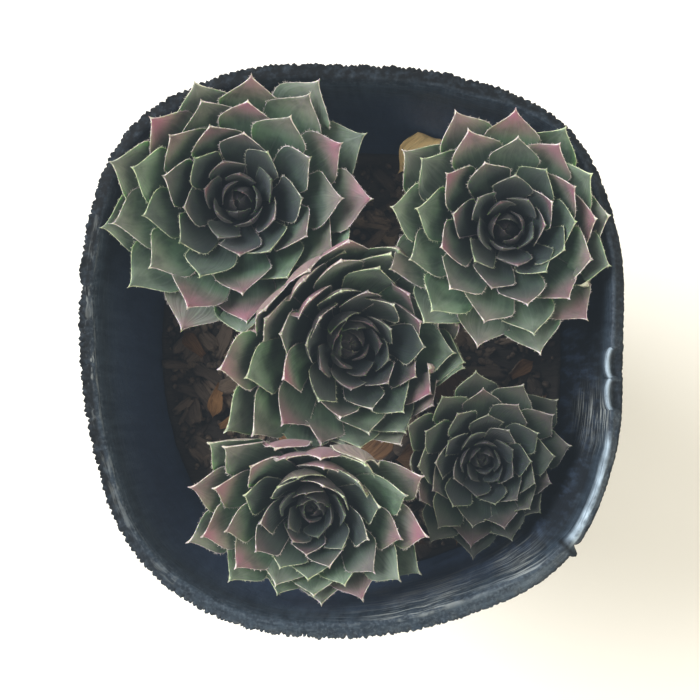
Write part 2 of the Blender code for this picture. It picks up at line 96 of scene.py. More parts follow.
# Marks of wear on the lip, by azimuth in degrees: the dents and their half width, the pointed tear, the strip
# where the lip rolls over and gets a painted highlight, how much narrower the lip is on the right and along
# the strip, the crumpled stretch, the pinch, the patches of dust with their spread, how softly the marks end,
# and the height they start from
DENTS = (-3.8, -10.4)
DENT_HALF_WIDTH = 3.1
DENT_DEPTH = 0.0008
TEAR = -42.4
BRIGHT_STRIP = (-41.0, -19.0)
BRIGHT_STRIP_WIDTH = 0.0015
NARROW_LIP = 0.0012
ROLLED_LIP = 0.0004
CRUMPLED = 183.0
PINCHED = 167.3
DUST_PATCHES = ((-74.0, 12.0), (-15.0, 5.0), (-52.0, 5.0))
EDGE_FADE = 0.0003
RIM_ZONE = 0.070

# Reach of the rim from the pot's axis, every 22.5 degrees from +X towards +Y
RIM_REACH = np.array((
    0.0429, 0.0459, 0.0494, 0.0470, 0.0457, 0.0486, 0.0506, 0.0462,
    0.0432, 0.0440, 0.0474, 0.0474, 0.0458, 0.0458, 0.0474, 0.0449,
))
MEAN_RIM = float(RIM_REACH.mean())

# Potting mix
GAP = 0.0003
SOIL_LEVEL = 0.0450
SOIL_HEAP = 0.0045
SOIL_HEAP_SPREAD = 0.0110
SOIL_RIPPLE = 0.0006
SOIL_STEPS = 256
SOIL_RINGS = 44
CRUMBLE = 0.0005
HAIRLINE = 0.0001
CHIP_COUNT = 19
CHIP_LENGTH = 0.0085
CHIP_WIDTH = 0.0042
CHIP_THICKNESS = 0.0018
CHIP_TO_STEM = 0.0080
CORNER_DRAWS = 16
SPLINTER_COUNT = 260
CRUMB_COUNT = 1500
CHIP_SHAPE_SEED = 3
CHIP_SEED = 11
SPLINTER_SEED = 12
CRUMB_SEED = 17
STEM_RADIUS = 0.0035
HOLE_CLEARANCE = 0.00035
STEM_FOOT = 0.0380

# Rosettes
LEAF_LENGTH_OLD = 0.96
LEAF_LENGTH_YOUNG = 0.18
LENGTH_SPACING = 1.8
CROWDED_LENGTH = 0.45
LEAF_ROOT_OLD = 0.17
LEAF_ROOT_YOUNG = 0.10
LEAF_ROOT_RISE = 0.12
LEAF_NARROWING = 0.70
NARROWING_SPACING = 2.2
LEAF_THICKNESS = 0.055
LEAF_BEND_OLD = math.radians(17.0)
LEAF_BEND_YOUNG = math.radians(22.0)
TIP_SPACING = 1.50
SHOULDER = 0.64
FINE_SHOULDER = 0.73
FINE_CUSP = 1.0
STEEPEST = -0.75
ROOT_WIDTH = 0.42
CUSP = 1.15
OLD_STATIONS = (0.0, 0.35, 0.68, 0.86)
YOUNG_STATIONS = (0.0, 0.42, 0.74)
YOUNG_FROM_AGE = 0.30
NEIGHBOUR_GAP = 0.00030
NEIGHBOUR_SPREAD = 0.0012
PRESS_DEPTH = 0.0012
PRESS_RISE = 0.5
MEETING_OVERLAP = 0.0024
SOIL_CLEARANCE = 0.0006
WALL_CLEARANCE = 0.0006
RIM_CLEARANCE = 0.0007
RIM_OVERHANG = 0.0005
SQUEEZE = 0.09
SQUEEZE_FROM = 0.60
SQUEEZE_STATIONS = (0.3, 0.5, 0.7, 0.85, 1.0)
CLOSING_STEP = 0.04
CLOSING_STEPS = 24
MARGIN_EDGE = 0.00004
HEART_COUNT = 9
CROWDED_BEND = math.radians(92.0)
OVERLAPS = (3, 5, 8, 13, 21)
TUCKED_AGE = 0.6
TUCKED_FROM = 0.45
TUCK_REACH = 0.0016
TUCK_GAP = 0.0001
HAIR_SPACING = 0.00042
HAIR_LENGTH = 0.00040
HAIR_RADIUS = 0.000042
HAIR_FROM = 0.12
HAIR_TILT = 0.55
HAIR_SCATTER = 0.22
HAIR_PAINTED_SHADE = 0.45
CUP = 0.12
RUFFLE = 0.09
RUFFLE_RATE = 9.0
FLICK_FROM = 0.78
TWIST = 0.10
BRIGHTEST = 0.86
BLUSH_POWER = 1.4

Plant = namedtuple(
    "Plant",
    "name foot_x foot_y crown radius half_width lean lean_azimuth turn first_azimuth divergence leaves",
)

# Angles are in degrees. turn is 1 where the spiral runs from +X to +Y, and -1 where it runs back
PLANTS = (
    Plant("back_left", -0.0183, 0.0248, 0.0640, 0.0239, 0.0053, 5.0, -50.0, 1, 275.4, 138.45, 56),
    Plant("back_right", 0.0250, 0.0192, 0.0680, 0.0207, 0.0047, 8.0, -40.0, 1, 227.7, 138.36, 54),
    Plant("middle", -0.0017, 0.0025, 0.0630, 0.0255, 0.0046, 26.0, -37.0, -1, 40.7, 138.02, 64),
    Plant("front_left", -0.0056, -0.0235, 0.0665, 0.0203, 0.0042, 25.0, -90.0, 1, 137.4, 138.12, 58),
    Plant("front_right", 0.0209, -0.0169, 0.0600, 0.0158, 0.0035, 18.0, -59.0, 1, 263.5, 138.22, 52),
)

# How pink each rosette is, and how much painted shade darkens it: the front right one lies in shade
PINKNESS = {"back_left": 1.0, "back_right": 1.15, "middle": 1.0, "front_left": 1.1, "front_right": 0.35}
PAINTED_SHADE = {"back_left": 0.0, "back_right": 0.1, "middle": 0.12, "front_left": 0.05, "front_right": 0.85}

# Leaves that stand out, by rosette, azimuth and spread in degrees and range of age: their tone, blush and
# the age their colour is drawn at, which sets how far they get the bud's darker colour and painted shade
MARKED_LEAVES = (
    ("back_left", 246.0, 14.0, 0.0, 0.22, 1.0, 0.5, 0.1),
    ("middle", 196.0, 8.0, 0.55, 0.65, 0.3, 1.8, 0.2),
    ("middle", 135.0, 34.0, 0.0, 0.42, 0.6, 0.35, 0.0),
    ("front_left", 92.0, 34.0, 0.0, 0.42, 0.6, 0.55, 0.0),
)

# Where two rosettes meet: the share of the way from the first stem to the second, and how far the first one
# reaches over the second, in degrees
MEETING_HEIGHT = 0.0725
MEETINGS = (
    ("back_left", "middle", 0.60, 22.0),
    ("back_left", "back_right", 0.57, 0.0),
    ("back_right", "middle", 0.50, 22.0),
    ("back_right", "front_right", 0.62, 22.0),
    ("middle", "front_left", 0.65, 26.0),
    ("middle", "front_right", 0.66, 22.0),
    ("front_left", "front_right", 0.67, 10.0),
    ("back_left", "front_left", 0.50, 0.0),
)

# Withered leaves
SLEEVE_WALL = 0.0014
SLEEVE_FILM = 0.0006
SLEEVE_LOW = 0.0508
SLEEVE_HEIGHT = 0.0026
WITHERED_ROOT = STEM_RADIUS + HOLE_CLEARANCE + SLEEVE_WALL / 2.0
WITHERED_THICKNESS = 0.0010
WITHERED_FILM = 0.00045
WITHERED_STATIONS = (0.0, 0.40, 0.75)
WITHERED_HALF_WIDTH = 0.17
WITHERED_LENGTH = 0.72
WITHERED_COUNT = 5
WITHERED_SLOPE = math.radians(12.0)
WITHERED_DROOP = math.radians(26.0)
LONG_LEAF_PLANT = "back_right"
LONG_LEAF_AZIMUTH = 131.0
LONG_LEAF_LENGTH = 0.0190
LONG_LEAF_HALF_WIDTH = 0.0034

# Dry leaves dropped on the mix: place, height over the mix, azimuth in degrees, slope,
# droop, length, half width and tone
FALLEN_LEAVES = (
    (-0.0256, -0.0077, 0.0016, 255.0, 0.45, 1.0, 0.0066, 0.0014, 0.42),
    (-0.0225, -0.0112, 0.0014, 20.0, 0.45, 1.0, 0.0052, 0.0012, 0.35),
    (-0.0109, -0.0140, 0.0040, 150.0, 0.45, 1.0, 0.0042, 0.0011, 0.60),
    (0.0110, 0.0350, 0.0092, 226.0, 0.55, 0.9, 0.0115, 0.0030, 1.0),
    (-0.0300, 0.0030, 0.0012, 130.0, 0.45, 1.0, 0.0060, 0.0014, 0.20),
    (0.0290, -0.0020, 0.0012, 35.0, 0.45, 1.0, 0.0050, 0.0013, 0.20),
)

# Camera, a little off the pot's axis, with heights over the rim
CAMERA_PLACE = Vector((0.0188, -0.0166, 0.2200))
CAMERA_AIM = Vector((0.0008, -0.0006, 0.0))
FIELD_WIDTH = 0.1108
SENSOR_WIDTH = 36.0


def linear(code):
    """An sRGB hex colour as linear RGBA."""
    channels = [int(code[place : place + 2], 16) / 255.0 for place in (1, 3, 5)]
    return (*(c / 12.92 if c <= 0.04045 else ((c + 0.055) / 1.055) ** 2.4 for c in channels), 1.0)


def smooth(value):
    value = np.clip(value, 0.0, 1.0)
    return value * value * (3.0 - 2.0 * value)


def blend(first, second, share):
    return first + (second - first) * share


def unit(vectors):
    """The vectors, each made 1 long."""
    return vectors / (np.linalg.norm(vectors, axis=-1, keepdims=True) + 1e-12)


def turn_point(reach, azimuth, height):
    return Vector((reach * math.cos(azimuth), reach * math.sin(azimuth), height))


def round_axis(points):
    """Reach from the pot's axis, azimuth and height of each point."""
    return np.hypot(points[:, 0], points[:, 1]), np.arctan2(points[:, 1], points[:, 0]), points[:, 2]


def from_axis(reach, azimuth, height):
    return np.stack(np.broadcast_arrays(reach * np.cos(azimuth), reach * np.sin(azimuth), height), 1)


def rim_reach(azimuth):
    """The rim's outline: a smooth closed curve through the measured reaches."""
    place = np.asarray(azimuth, float) / math.tau * len(RIM_REACH)
    index = np.floor(place).astype(int)
    share = place - index
    before, first, second, after = (RIM_REACH[(index + step) % len(RIM_REACH)] for step in (-1, 0, 1, 2))
    cubic = 3.0 * (first - second) + after - before
    square = 2.0 * before - 5.0 * first + 4.0 * second - after
    return first + share / 2.0 * (second - before + share * (square + share * cubic))


def wall_reach(azimuth, height):
    """The outer face of the wall, which runs straight from the round base to the rim."""
    share = (height - FLOOR_RISE) / (RIM_HEIGHT - FLOOR_RISE)
    return blend(BASE_RADIUS, rim_reach(azimuth) - LIP, share)


def inner_reach(azimuth, height):
    return wall_reach(azimuth, height) - WALL


def outline_middle():
    """The middle of the rim's box, on which the object is centred."""
    azimuths = np.arange(96) * math.tau / 96
    rim = from_axis(rim_reach(azimuths), azimuths, 0.0)
    return Vector((rim.min(0) + rim.max(0)) / 2.0)


def soil_height(x, y):
    """The settled surface of the potting mix, with a heap round each stem."""
    apart = np.min([(x - plant.foot_x) ** 2 + (y - plant.foot_y) ** 2 for plant in PLANTS], axis=0)
    ripple = SOIL_RIPPLE * np.sin(310.0 * x + 1.7) * np.cos(270.0 * y + 0.4)
    return SOIL_LEVEL + SOIL_HEAP * np.exp(-apart / SOIL_HEAP_SPREAD**2) + ripple


def deselect():
    if bpy.context.mode != "OBJECT":
        bpy.ops.object.mode_set(mode="OBJECT")
    bpy.ops.object.select_all(action="DESELECT")


def choose(piece):
    deselect()
    bpy.context.view_layer.objects.active = piece
    piece.select_set(True)


def new_primitive(add, **settings):
    """A primitive at its size and place, both kept in its mesh."""
    deselect()
    add(**settings)
    bpy.ops.object.transform_apply()
    return bpy.context.object


def edit_all(piece):
    """Leave the piece in edit mode with all of it selected."""
    choose(piece)
    bpy.ops.object.mode_set(mode="EDIT")
    bpy.ops.mesh.select_all(action="SELECT")


def thicken(piece, thickness, offset):
    """Give a sheet its wall."""
    choose(piece)
    wall = piece.modifiers.new("wall", "SOLIDIFY")
    wall.thickness = thickness
    wall.offset = offset
    bpy.ops.object.modifier_apply(modifier=wall.name)


def pick(piece, test):
    """Leave the piece in edit mode with only the vertices that pass the test selected."""
    choose(piece)
    bpy.ops.object.mode_set(mode="EDIT")
    bpy.ops.mesh.select_mode(type="VERT")
    bpy.ops.mesh.select_all(action="DESELECT")
    bpy.ops.object.mode_set(mode="OBJECT")
    for vert in piece.data.vertices:
        vert.select = test(vert.co)
    bpy.ops.object.mode_set(mode="EDIT")


def finish_piece(piece, material):
    """Put the piece's place in its mesh, shade it smooth and hand it to the frame."""
    choose(piece)
    bpy.ops.object.transform_apply()
    piece.data.transform(Matrix.Translation(-MIDDLE))
    piece.data.materials.clear()
    piece.data.materials.append(material)
    piece.data.polygons.foreach_set("use_smooth", np.ones(len(piece.data.polygons), bool))
    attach(piece, "root")


def joined(pieces, name):
    deselect()
    for piece in pieces:
        piece.select_set(True)
    bpy.context.view_layer.objects.active = pieces[0]
    bpy.ops.object.join()
    pieces[0].name = name
    pieces[0].data.name = name
    return pieces[0]


def own_copy(master):
    copied = master.copy()
    copied.data = master.data.copy()
    bpy.context.scene.collection.objects.link(copied)
    return copied


def points_of(piece):
    points = np.empty(len(piece.data.vertices) * 3)
    piece.data.vertices.foreach_get("co", points)
    return points.reshape(-1, 3)


def place_points(piece, points):
    piece.data.vertices.foreach_set("co", np.asarray(points, np.float32).ravel())
    piece.data.update()


def note(piece, **values):
    """Keep numbers at the piece's vertices for its material to read."""
    count = len(piece.data.vertices)
    for name, value in values.items():
        attribute = piece.data.attributes.get(name) or piece.data.attributes.new(name, "FLOAT", "POINT")
        attribute.data.foreach_set("value", np.broadcast_to(np.asarray(value, np.float32), count).copy())


def add_node(tree, kind, inputs=None, **settings):
    """A node with its settings. inputs gives each socket its value, or the output that it is linked to."""
    made = tree.nodes.new(kind)
    for name, value in settings.items():
        setattr(made, name, value)
    for name, value in (inputs or {}).items():
        if isinstance(value, bpy.types.NodeSocket):
            tree.links.new(value, made.inputs[name])
        else:
            made.inputs[name].default_value = value
    return made


def new_material(name, *notes):
    """An empty material, its tree, and the numbers that its pieces keep at their vertices."""
    material = bpy.data.materials.new(name)
    material.use_nodes = True
    tree = material.node_tree
    tree.nodes.clear()
    kept = (add_node(tree, "ShaderNodeAttribute", attribute_name=note).outputs["Fac"] for note in notes)
    return material, tree, *kept


def grain_over(tree, vector, stretch, rate, detail, roughness=0.5):
    """Fine uneven grain over a vector that is stretched first."""
    vector = add_node(tree, "ShaderNodeMapping", {"Vector": vector, "Scale": stretch}).outputs[0]
    inputs = {"Vector": vector, "Scale": rate, "Detail": detail, "Roughness": roughness}
    return add_node(tree, "ShaderNodeTexNoise", inputs).outputs["Fac"]


def lay_over(tree, base, colour, *shares, ramp="LINEAR"):
    """Lay one colour over another. Each share is a value, alone or with the range that it runs through and
    what that gives, and the shares are multiplied."""
    names = ("Value", "From Min", "From Max", "To Min", "To Max")
    amount = None
    for share in shares:
        part = share[0]
        if len(share) > 1:
            ends = dict(zip(names, share))
            part = add_node(tree, "ShaderNodeMapRange", ends, interpolation_type=ramp).outputs[0]
        if amount is not None:
            part = add_node(tree, "ShaderNodeMath", {0: amount, 1: part}, operation="MULTIPLY").outputs[0]
        amount = part
    base, colour = (linear(end) if isinstance(end, str) else end for end in (base, colour))
    return add_node(tree, "ShaderNodeMix", {0: amount, 6: base, 7: colour}, data_type="RGBA").outputs[2]


def finish_material(material, colour, settings, bumps=()):
    """Give the material its surface: its colour, the shader's own settings, and its bumps, each with its
    strength and depth."""
    tree = material.node_tree
    inputs = {"Base Color": colour, **settings}
    for height, strength, depth in bumps:
        bump = add_node(tree, "ShaderNodeBump", {"Height": height, "Strength": strength, "Distance": depth})
        if "Normal" in inputs:
            tree.links.new(inputs["Normal"], bump.inputs["Normal"])
        inputs["Normal"] = bump.outputs[0]
    surface = add_node(tree, "ShaderNodeBsdfPrincipled", inputs)
    add_node(tree, "ShaderNodeOutputMaterial", {"Surface": surface.outputs[0]})
    return material


def black_film_material():
    """Blow-moulded polyethylene film, black: a dull sheen, drawing marks down the wall, fine rub marks round
    it, pale scuffs of dust, and painted light. Its pieces keep, at their vertices, where the lip gets a
    painted highlight and is glossier; where painted shade darkens the lip, its dents, the tear and the right
    of the wall;
    where there is dust, and where a painted highlight runs along the left of the lip and over its crumples;
    and which face is inside the pot, painted lighter and bluer than the outside as painted light for the
    shade there."""
    notes = ("polish", "black", "dusty", "inner")
    material, tree, polish, black, dusty, inner = new_material("black_polyethylene_film", *notes)
    place = add_node(tree, "ShaderNodeTexCoord").outputs["Object"]
    height = add_node(tree, "ShaderNodeSeparateXYZ", {"Vector": place}).outputs["Z"]
    grains = ((18.0, 150.0, 4.0), (0.08, 700.0, 3.0), (1.0, 1900.0, 3.0), (1.0, 190.0, 3.0))
    rubs, marks, fine, swell = (
        grain_over(tree, place, (1.0, 1.0, stretch), rate, detail, 0.65) for stretch, rate, detail in grains
    )
    streaks = (marks, 0.35, 0.68)
    # Painted light: inside the pot the film is lighter and bluer than outside, and lighter still low down
    # where the shade is deepest
    low = lay_over(tree, "#4a5f82", "#566c90", streaks)
    high = lay_over(tree, "#1c242d", "#303b46", streaks)
    outside = lay_over(tree, "#15181b", "#24282c", streaks)
    outside = lay_over(tree, outside, "#343a40", (rubs, 0.55, 0.75, 0.0, 0.3))
    colour = lay_over(tree, low, high, (height, 0.052, 0.070))
    for over, *shares in (
        ("#4a5763", (rubs, 0.50, 0.72, 0.0, 0.5)),
        ("#56606a", (height, 0.0722, 0.0728), (fine, 0.48, 0.70, 0.0, 0.55)),
        # Painted shade: nearly black over the lip, the dents' hollows, the tear and the wall on the right
        ("#0b0d0f", (black,), (marks, 1.0, 0.45)),
        # Pale dust, and a painted highlight along the left of the lip and over its crumples
        ("#8b908e", (dusty,), (rubs, 0.50, 0.60, 0.0, 0.85)),
    ):
        colour = lay_over(tree, colour, over, *shares)
    # The outside keeps the film's own black; the inside gets the painted light
    colour = lay_over(tree, outside, colour, (inner,))
    # Painted highlight: the lip's rolled strip, the dents' edges and a faint band turn pale blue-white, and
    # glossier
    colour = lay_over(tree, colour, "#a6b8c6", (polish,), (rubs, 0.30, 0.55))
    # Where the painted shade is, the film is rougher too, so that it shows no sheen
    dull = add_node(tree, "ShaderNodeMapRange", {"Value": black, "To Min": 0.46, "To Max": 0.80}).outputs[0]
    gloss = add_node(tree, "ShaderNodeMix", {0: polish, 2: dull, 3: 0.16}).outputs[0]
    bumps = ((rubs, 0.35, 0.0003), (marks, 0.25, 0.0002), (swell, 0.5, 0.0006), (fine, 0.5, 0.0001))
    settings = {"Roughness": gloss, "IOR": 1.51, "Specular IOR Level": 0.13}
    return finish_material(material, colour, settings, bumps)


def leaf_material():
    """Living houseleek leaf: waxy grey-green skin, purple towards the tip, a pale translucent margin, and a
    tan to pink back. Painted shade darkens it towards the root and over the whole of a rosette that lies in
    shade, and the bud is darker, partly its own colour and partly painted shade. Each vertex keeps its share
    of the way along the leaf and across it, the leaf's age, the side it is on, the leaf's own tone and blush,
    how much painted shade its rosette has, and its distance from the margin in millimetres."""
    notes = ("along", "side", "age", "back", "tone", "margin", "blush", "dusk")
    material, tree, *kept = new_material("waxy_houseleek_leaf", *notes)
    along, side, age, back, tone, margin, blush, dusk = kept
    place = add_node(tree, "ShaderNodeTexCoord").outputs["Object"]
    mottle = grain_over(tree, place, (1.0, 1.0, 1.0), 300.0, 5.0)
    broken = grain_over(tree, place, (1.0, 1.0, 1.0), 1100.0, 2.0)
    on_leaf = add_node(tree, "ShaderNodeCombineXYZ", {"X": along, "Y": side, "Z": tone}).outputs[0]
    ribs = grain_over(tree, on_leaf, (1.6, 11.0, 9.0), 1.0, 3.0)
    face = linear("#2f4d36")
    for colour, *shares in (
        ("#577a5b", (mottle, 0.35, 0.65)),
        ("#414f48", (tone, 0.0, 0.7, 0.0, 0.5)),
        ("#86958a", (ribs, 0.45, 0.72, 0.0, 0.16)),
        ("#92a096", (tone, 0.80, 0.96, 0.0, 0.75), (ribs, 0.38, 0.60, 0.35, 1.0), (along, 0.2, 0.8)),
        ("#8a998c", (along, 0.55, 1.0, 0.0, 0.35), (mottle, 0.35, 0.60, 0.4, 1.0)),
        # Painted shade over a rosette that lies in shade
        ("#28352e", (dusk,)),
        ("#8f576a", (along, 0.64, 0.98), (blush, 0.05, 0.9, 0.10, 1.0), (mottle, 0.30, 0.60, 0.45, 1.0)),
        # Painted shade towards the root, under the leaves over it
        ("#243029", (along, 0.0, 0.5, 0.55, 0.0)),
        # The bud is darker: partly the young leaves' own colour, partly painted shade in the closed heart
        ("#1c2429", (age, 0.30, 0.72, 0.0, 0.90), (along, 0.74, 1.0, 1.0, 0.48)),
    ):
        face = lay_over(tree, face, colour, *shares, ramp="SMOOTHSTEP")
    under = linear("#6c685c")
    for colour, *shares in (
        ("#938a7c", (ribs, 0.35, 0.65)),
        ("#88666f", (along, 0.20, 0.85), (blush, 0.0, 0.7, 0.15, 1.0)),
        # The backs of young leaves are darker too: partly own colour, partly painted shade
        ("#272a2d", (age, 0.40, 0.70, 0.0, 0.93)),
    ):
        under = lay_over(tree, under, colour, *shares, ramp="SMOOTHSTEP")
    skin = lay_over(tree, face, under, (back,))
    pale = lay_over(tree, "#c6d0ae", "#dad0cd", (blush, 0.02, 0.30), ramp="SMOOTHSTEP")
    # The pale margin fades in the bud, partly as painted shade
    line = ((margin, 0.03, 0.11, 1.0, 0.0), (age, 0.64, 0.86, 1.0, 0.08), (broken, 0.38, 0.60, 0.25, 1.0))
    # The rosette's painted shade dims the pale margin too
    skin = lay_over(tree, skin, pale, *line, (dusk, 0.0, 1.0, 1.0, 0.40), ramp="SMOOTHSTEP")
    settings = {
        "Roughness": 0.52,
        "IOR": 1.42,
        "Subsurface Weight": 0.30,
        "Subsurface Radius": (0.5, 1.0, 0.25),
        "Subsurface Scale": 0.0014,
        "Sheen Weight": 0.12,
        "Sheen Roughness": 0.5,
    }
    return finish_material(material, skin, settings, ((ribs, 0.35, 0.0003),))


def hair_material():
    """Margin hairs: dry, colourless and a little translucent, so they catch the light as a pale fringe."""
    material, tree, tone, blush = new_material("pale_margin_hair", "tone", "blush")
    pale = lay_over(tree, "#d2dabc", "#e6dcd9", (blush, 0.02, 0.30))
    # Darker hairs where the tone is low: shorter ones, those in the bud, partly painted shade, and those
    # under a rosette's painted shade
    return finish_material(material, lay_over(tree, "#3c3b3c", pale, (tone,)), {"Roughness": 0.6, "IOR": 1.5})


def withered_material():
    """Withered leaf: papery, brown to straw as its tone rises, with dark veins."""
    material, tree, along, side, tone = new_material("papery_withered_leaf", "along", "side", "tone")
    on_leaf = add_node(tree, "ShaderNodeCombineXYZ", {"X": along, "Y": side, "Z": tone}).outputs[0]
    ribs = grain_over(tree, on_leaf, (3.0, 9.0, 9.0), 1.0, 4.0)
    colour = lay_over(tree, "#5e4432", "#b98a58", (tone, 0.0, 0.5))
    colour = lay_over(tree, colour, "#f6d594", (tone, 0.5, 1.0))
    colour = lay_over(tree, colour, "#4a3222", (ribs, 0.48, 0.70), (tone, 0.0, 1.0, 0.75, 0.28))
    return finish_material(material, colour, {"Roughness": 0.8, "IOR": 1.45}, ((ribs, 0.7, 0.0005),))


def bark_material(name, low, high):
    """Composted pine bark: fibrous and dull. Each chip has its own tone from fresh brown to nearly black."""
    material, tree, tone = new_material(name, "tone")
    grain = add_node(tree, "ShaderNodeAttribute", attribute_name="grain").outputs["Vector"]
    fibre = grain_over(tree, grain, (0.35, 3.4, 3.4), 900.0, 4.0)
    colour = lay_over(tree, low, high, (tone,))
    colour = lay_over(tree, colour, "#221a15", (fibre, 0.50, 0.75, 0.0, 0.55))
    return finish_material(material, colour, {"Roughness": 0.88, "IOR": 1.45}, ((fibre, 0.8, 0.0004),))


def saw_line(azimuths, pitch, seed):
    """A closed line of uneven saw teeth round the rim, from 0 to 1."""
    drawn = random.Random(seed)
    step = pitch / MEAN_RIM
    places = [0.0]
    depths = [0.0]
    while places[-1] < math.tau - 1.5 * step:
        width = step * drawn.uniform(0.65, 1.4)
        places += [places[-1] + drawn.uniform(0.3, 0.7) * width, places[-1] + width]
        depths += [drawn.uniform(0.35, 1.0), drawn.uniform(0.0, 0.35)]
    return np.interp(azimuths % math.tau, [*places, math.tau], [*depths, 0.0])


def away_from(azimuths, degrees):
    """How far each azimuth is from the given one, in degrees, from -180 to 180."""
    return (np.degrees(azimuths) - degrees + 180.0) % 360.0 - 180.0


def near(azimuths, degrees, spread):
    """1 at an azimuth, fading out over the spread on both sides of it."""
    return np.exp(-((away_from(azimuths, degrees) / spread) ** 2))


def tear_depths(azimuths):
    """How far the torn edge is cut back: fine teeth on larger chunks, hardly any on the smooth side."""
    apart = np.abs(away_from(azimuths, SMOOTH_EDGE))
    raggedness = 0.20 + 0.80 * smooth((apart - 0.6 * SMOOTH_EDGE_SPREAD) / SMOOTH_EDGE_SPREAD)
    teeth = TOOTH_DEPTH * saw_line(azimuths, TOOTH_PITCH, 5)
    teeth += CHUNK_DEPTH * saw_line(azimuths, 4.0 * TOOTH_PITCH, 6)
    frayed = np.maximum(near(azimuths, *FRAYED), 0.35 * raggedness)
    fray = FRAY_DEPTH * frayed * saw_line(azimuths, FRAY_PITCH, 7)
    notch = 0.0006 * near(azimuths, TEAR + 1.2, 0.6)
    flap = 0.0008 * near(azimuths, TEAR, 0.45)
    pinch = 0.0006 * near(azimuths, PINCHED, 2.2)
    return teeth * raggedness + fray + notch + pinch - flap


def pot_profile():
    """Radius and height along the film of a round pot of the mean reach, from its floor to the lip's edge."""
    top = RIM_HEIGHT - FILM
    mouth = MEAN_RIM - LIP

    def wall_at(height):
        return blend(BASE_RADIUS, mouth, (height - FLOOR_RISE) / (RIM_HEIGHT - FLOOR_RISE))

    profile = [(FLOOR_RADIUS, FLOOR_RISE), (0.0230, 0.0006), (FOOT_INNER_RADIUS, 0.0)]
    profile += [(FOOT_OUTER_RADIUS, 0.0), (0.0286, 0.0003), (BASE_RADIUS, FLOOR_RISE)]
    heights = (0.010, 0.024, 0.038, 0.048, 0.054, 0.0590, 0.0630, 0.0662, 0.0687, 0.0706, 0.0720)
    profile += [(wall_at(height), height) for height in heights]
    profile += [(mouth - 0.00002, 0.0729), (mouth + 0.0001, top - 0.00022)]
    profile += [(mouth + 0.00022, top - 0.0001), (mouth + 0.00045, top)]
    shares = (0.30, 0.42, 0.54, 0.66, 0.77, 0.87, 0.94, 1.0)
    profile += [(mouth + share * LIP, top - 0.0004 * share * share) for share in shares]
    return profile


def waves(azimuths, rate, lift):
    """Smooth noise round the rim: rate is about the number of swells in a sixth of a turn."""
    return np.array([noise.noise(Vector((rate * math.cos(a), rate * math.sin(a), lift))) for a in azimuths])


def bright_strip(azimuths):
    """1 along the stretch of the lip's inner edge that rolls over and gets a painted highlight, and 0
    elsewhere.
    """
    low, high = BRIGHT_STRIP
    middle = (low + high) / 2.0
    apart = np.abs(away_from(azimuths, middle)) / ((high - low) / 2.0)
    patches = 0.75 + 0.5 * waves(azimuths, 30.0, 6.1)
    return smooth((1.15 - apart) / 0.3) * patches


def strip_width(azimuths):
    """The bright strip's width, which grows towards the tear."""
    share = np.clip(away_from(azimuths, BRIGHT_STRIP[0]) / 20.0, 0.0, 1.0)
    return BRIGHT_STRIP_WIDTH * blend(1.0, 0.45, share)


def from_dent(azimuths):
    """How far each azimuth is from the nearest dent's middle, in half widths of the dent."""
    return np.min([np.abs(away_from(azimuths, middle)) for middle in DENTS], 0) / DENT_HALF_WIDTH


def press_to_outline(points):
    """Turn the round pot's points into the pressed, dented and torn pot's."""
    radius, azimuth, height = round_axis(points)
    share = np.clip((height - FLOOR_RISE) / (RIM_HEIGHT - FLOOR_RISE), 0.0, 1.0)
    across = (radius - (MEAN_RIM - LIP)) * (share > 0.97)
    lip = np.clip(across / LIP, 0.0, 1.0)
    reach = radius + share * (rim_reach(azimuth) - MEAN_RIM)
    narrow = NARROW_LIP * smooth((64.0 - np.abs(away_from(azimuth, 2.0))) / 24.0)
    narrow += ROLLED_LIP * smooth((1.3 - np.abs(away_from(azimuth, -30.0)) / 11.0) / 0.5)
    reach += narrow * smooth((share - 0.80) / 0.19) * (1.0 - lip)
    reach += (TOOTH_REACH - tear_depths(azimuth)) * smooth((lip - 0.45) / 0.55)
    upper = smooth((share - 0.55) / 0.45)
    near_top = smooth((share - 0.93) / 0.06)
    dent = np.sqrt(np.maximum(1.0 - from_dent(azimuth) ** 2, 0.0))
    reach -= DENT_DEPTH * dent * near_top * (1.0 - smooth(lip / 0.8))
    creases = np.array([
        noise.noise(Vector((9.0 * math.cos(a), 9.0 * math.sin(a), 60.0 * z))) for a, z in zip(azimuth, height)
    ])
    reach -= 0.00018 * upper * (1.0 - lip) * np.abs(creases)
    crumpled = near(azimuth, CRUMPLED, 13.0)
    folds = np.maximum(waves(azimuth, 55.0, 2.0), -0.2)
    sag = 0.0006 + 0.0006 * waves(azimuth, 5.0, 3.7)
    sag += 0.0010 * waves(azimuth, 24.0, 9.1) * smooth((lip - 0.5) / 0.5)
    height = height - lip * (sag + 0.0011 * crumpled * folds)
    height -= 0.0010 * dent * near_top * np.sin(math.pi * np.clip(lip, 0.0, 1.0)) ** 2
    slope = np.maximum(strip_width(azimuth) - across, 0.0) * (share > 0.985)
    height -= 0.42 * slope * bright_strip(azimuth)
    return from_axis(reach, azimuth, height)


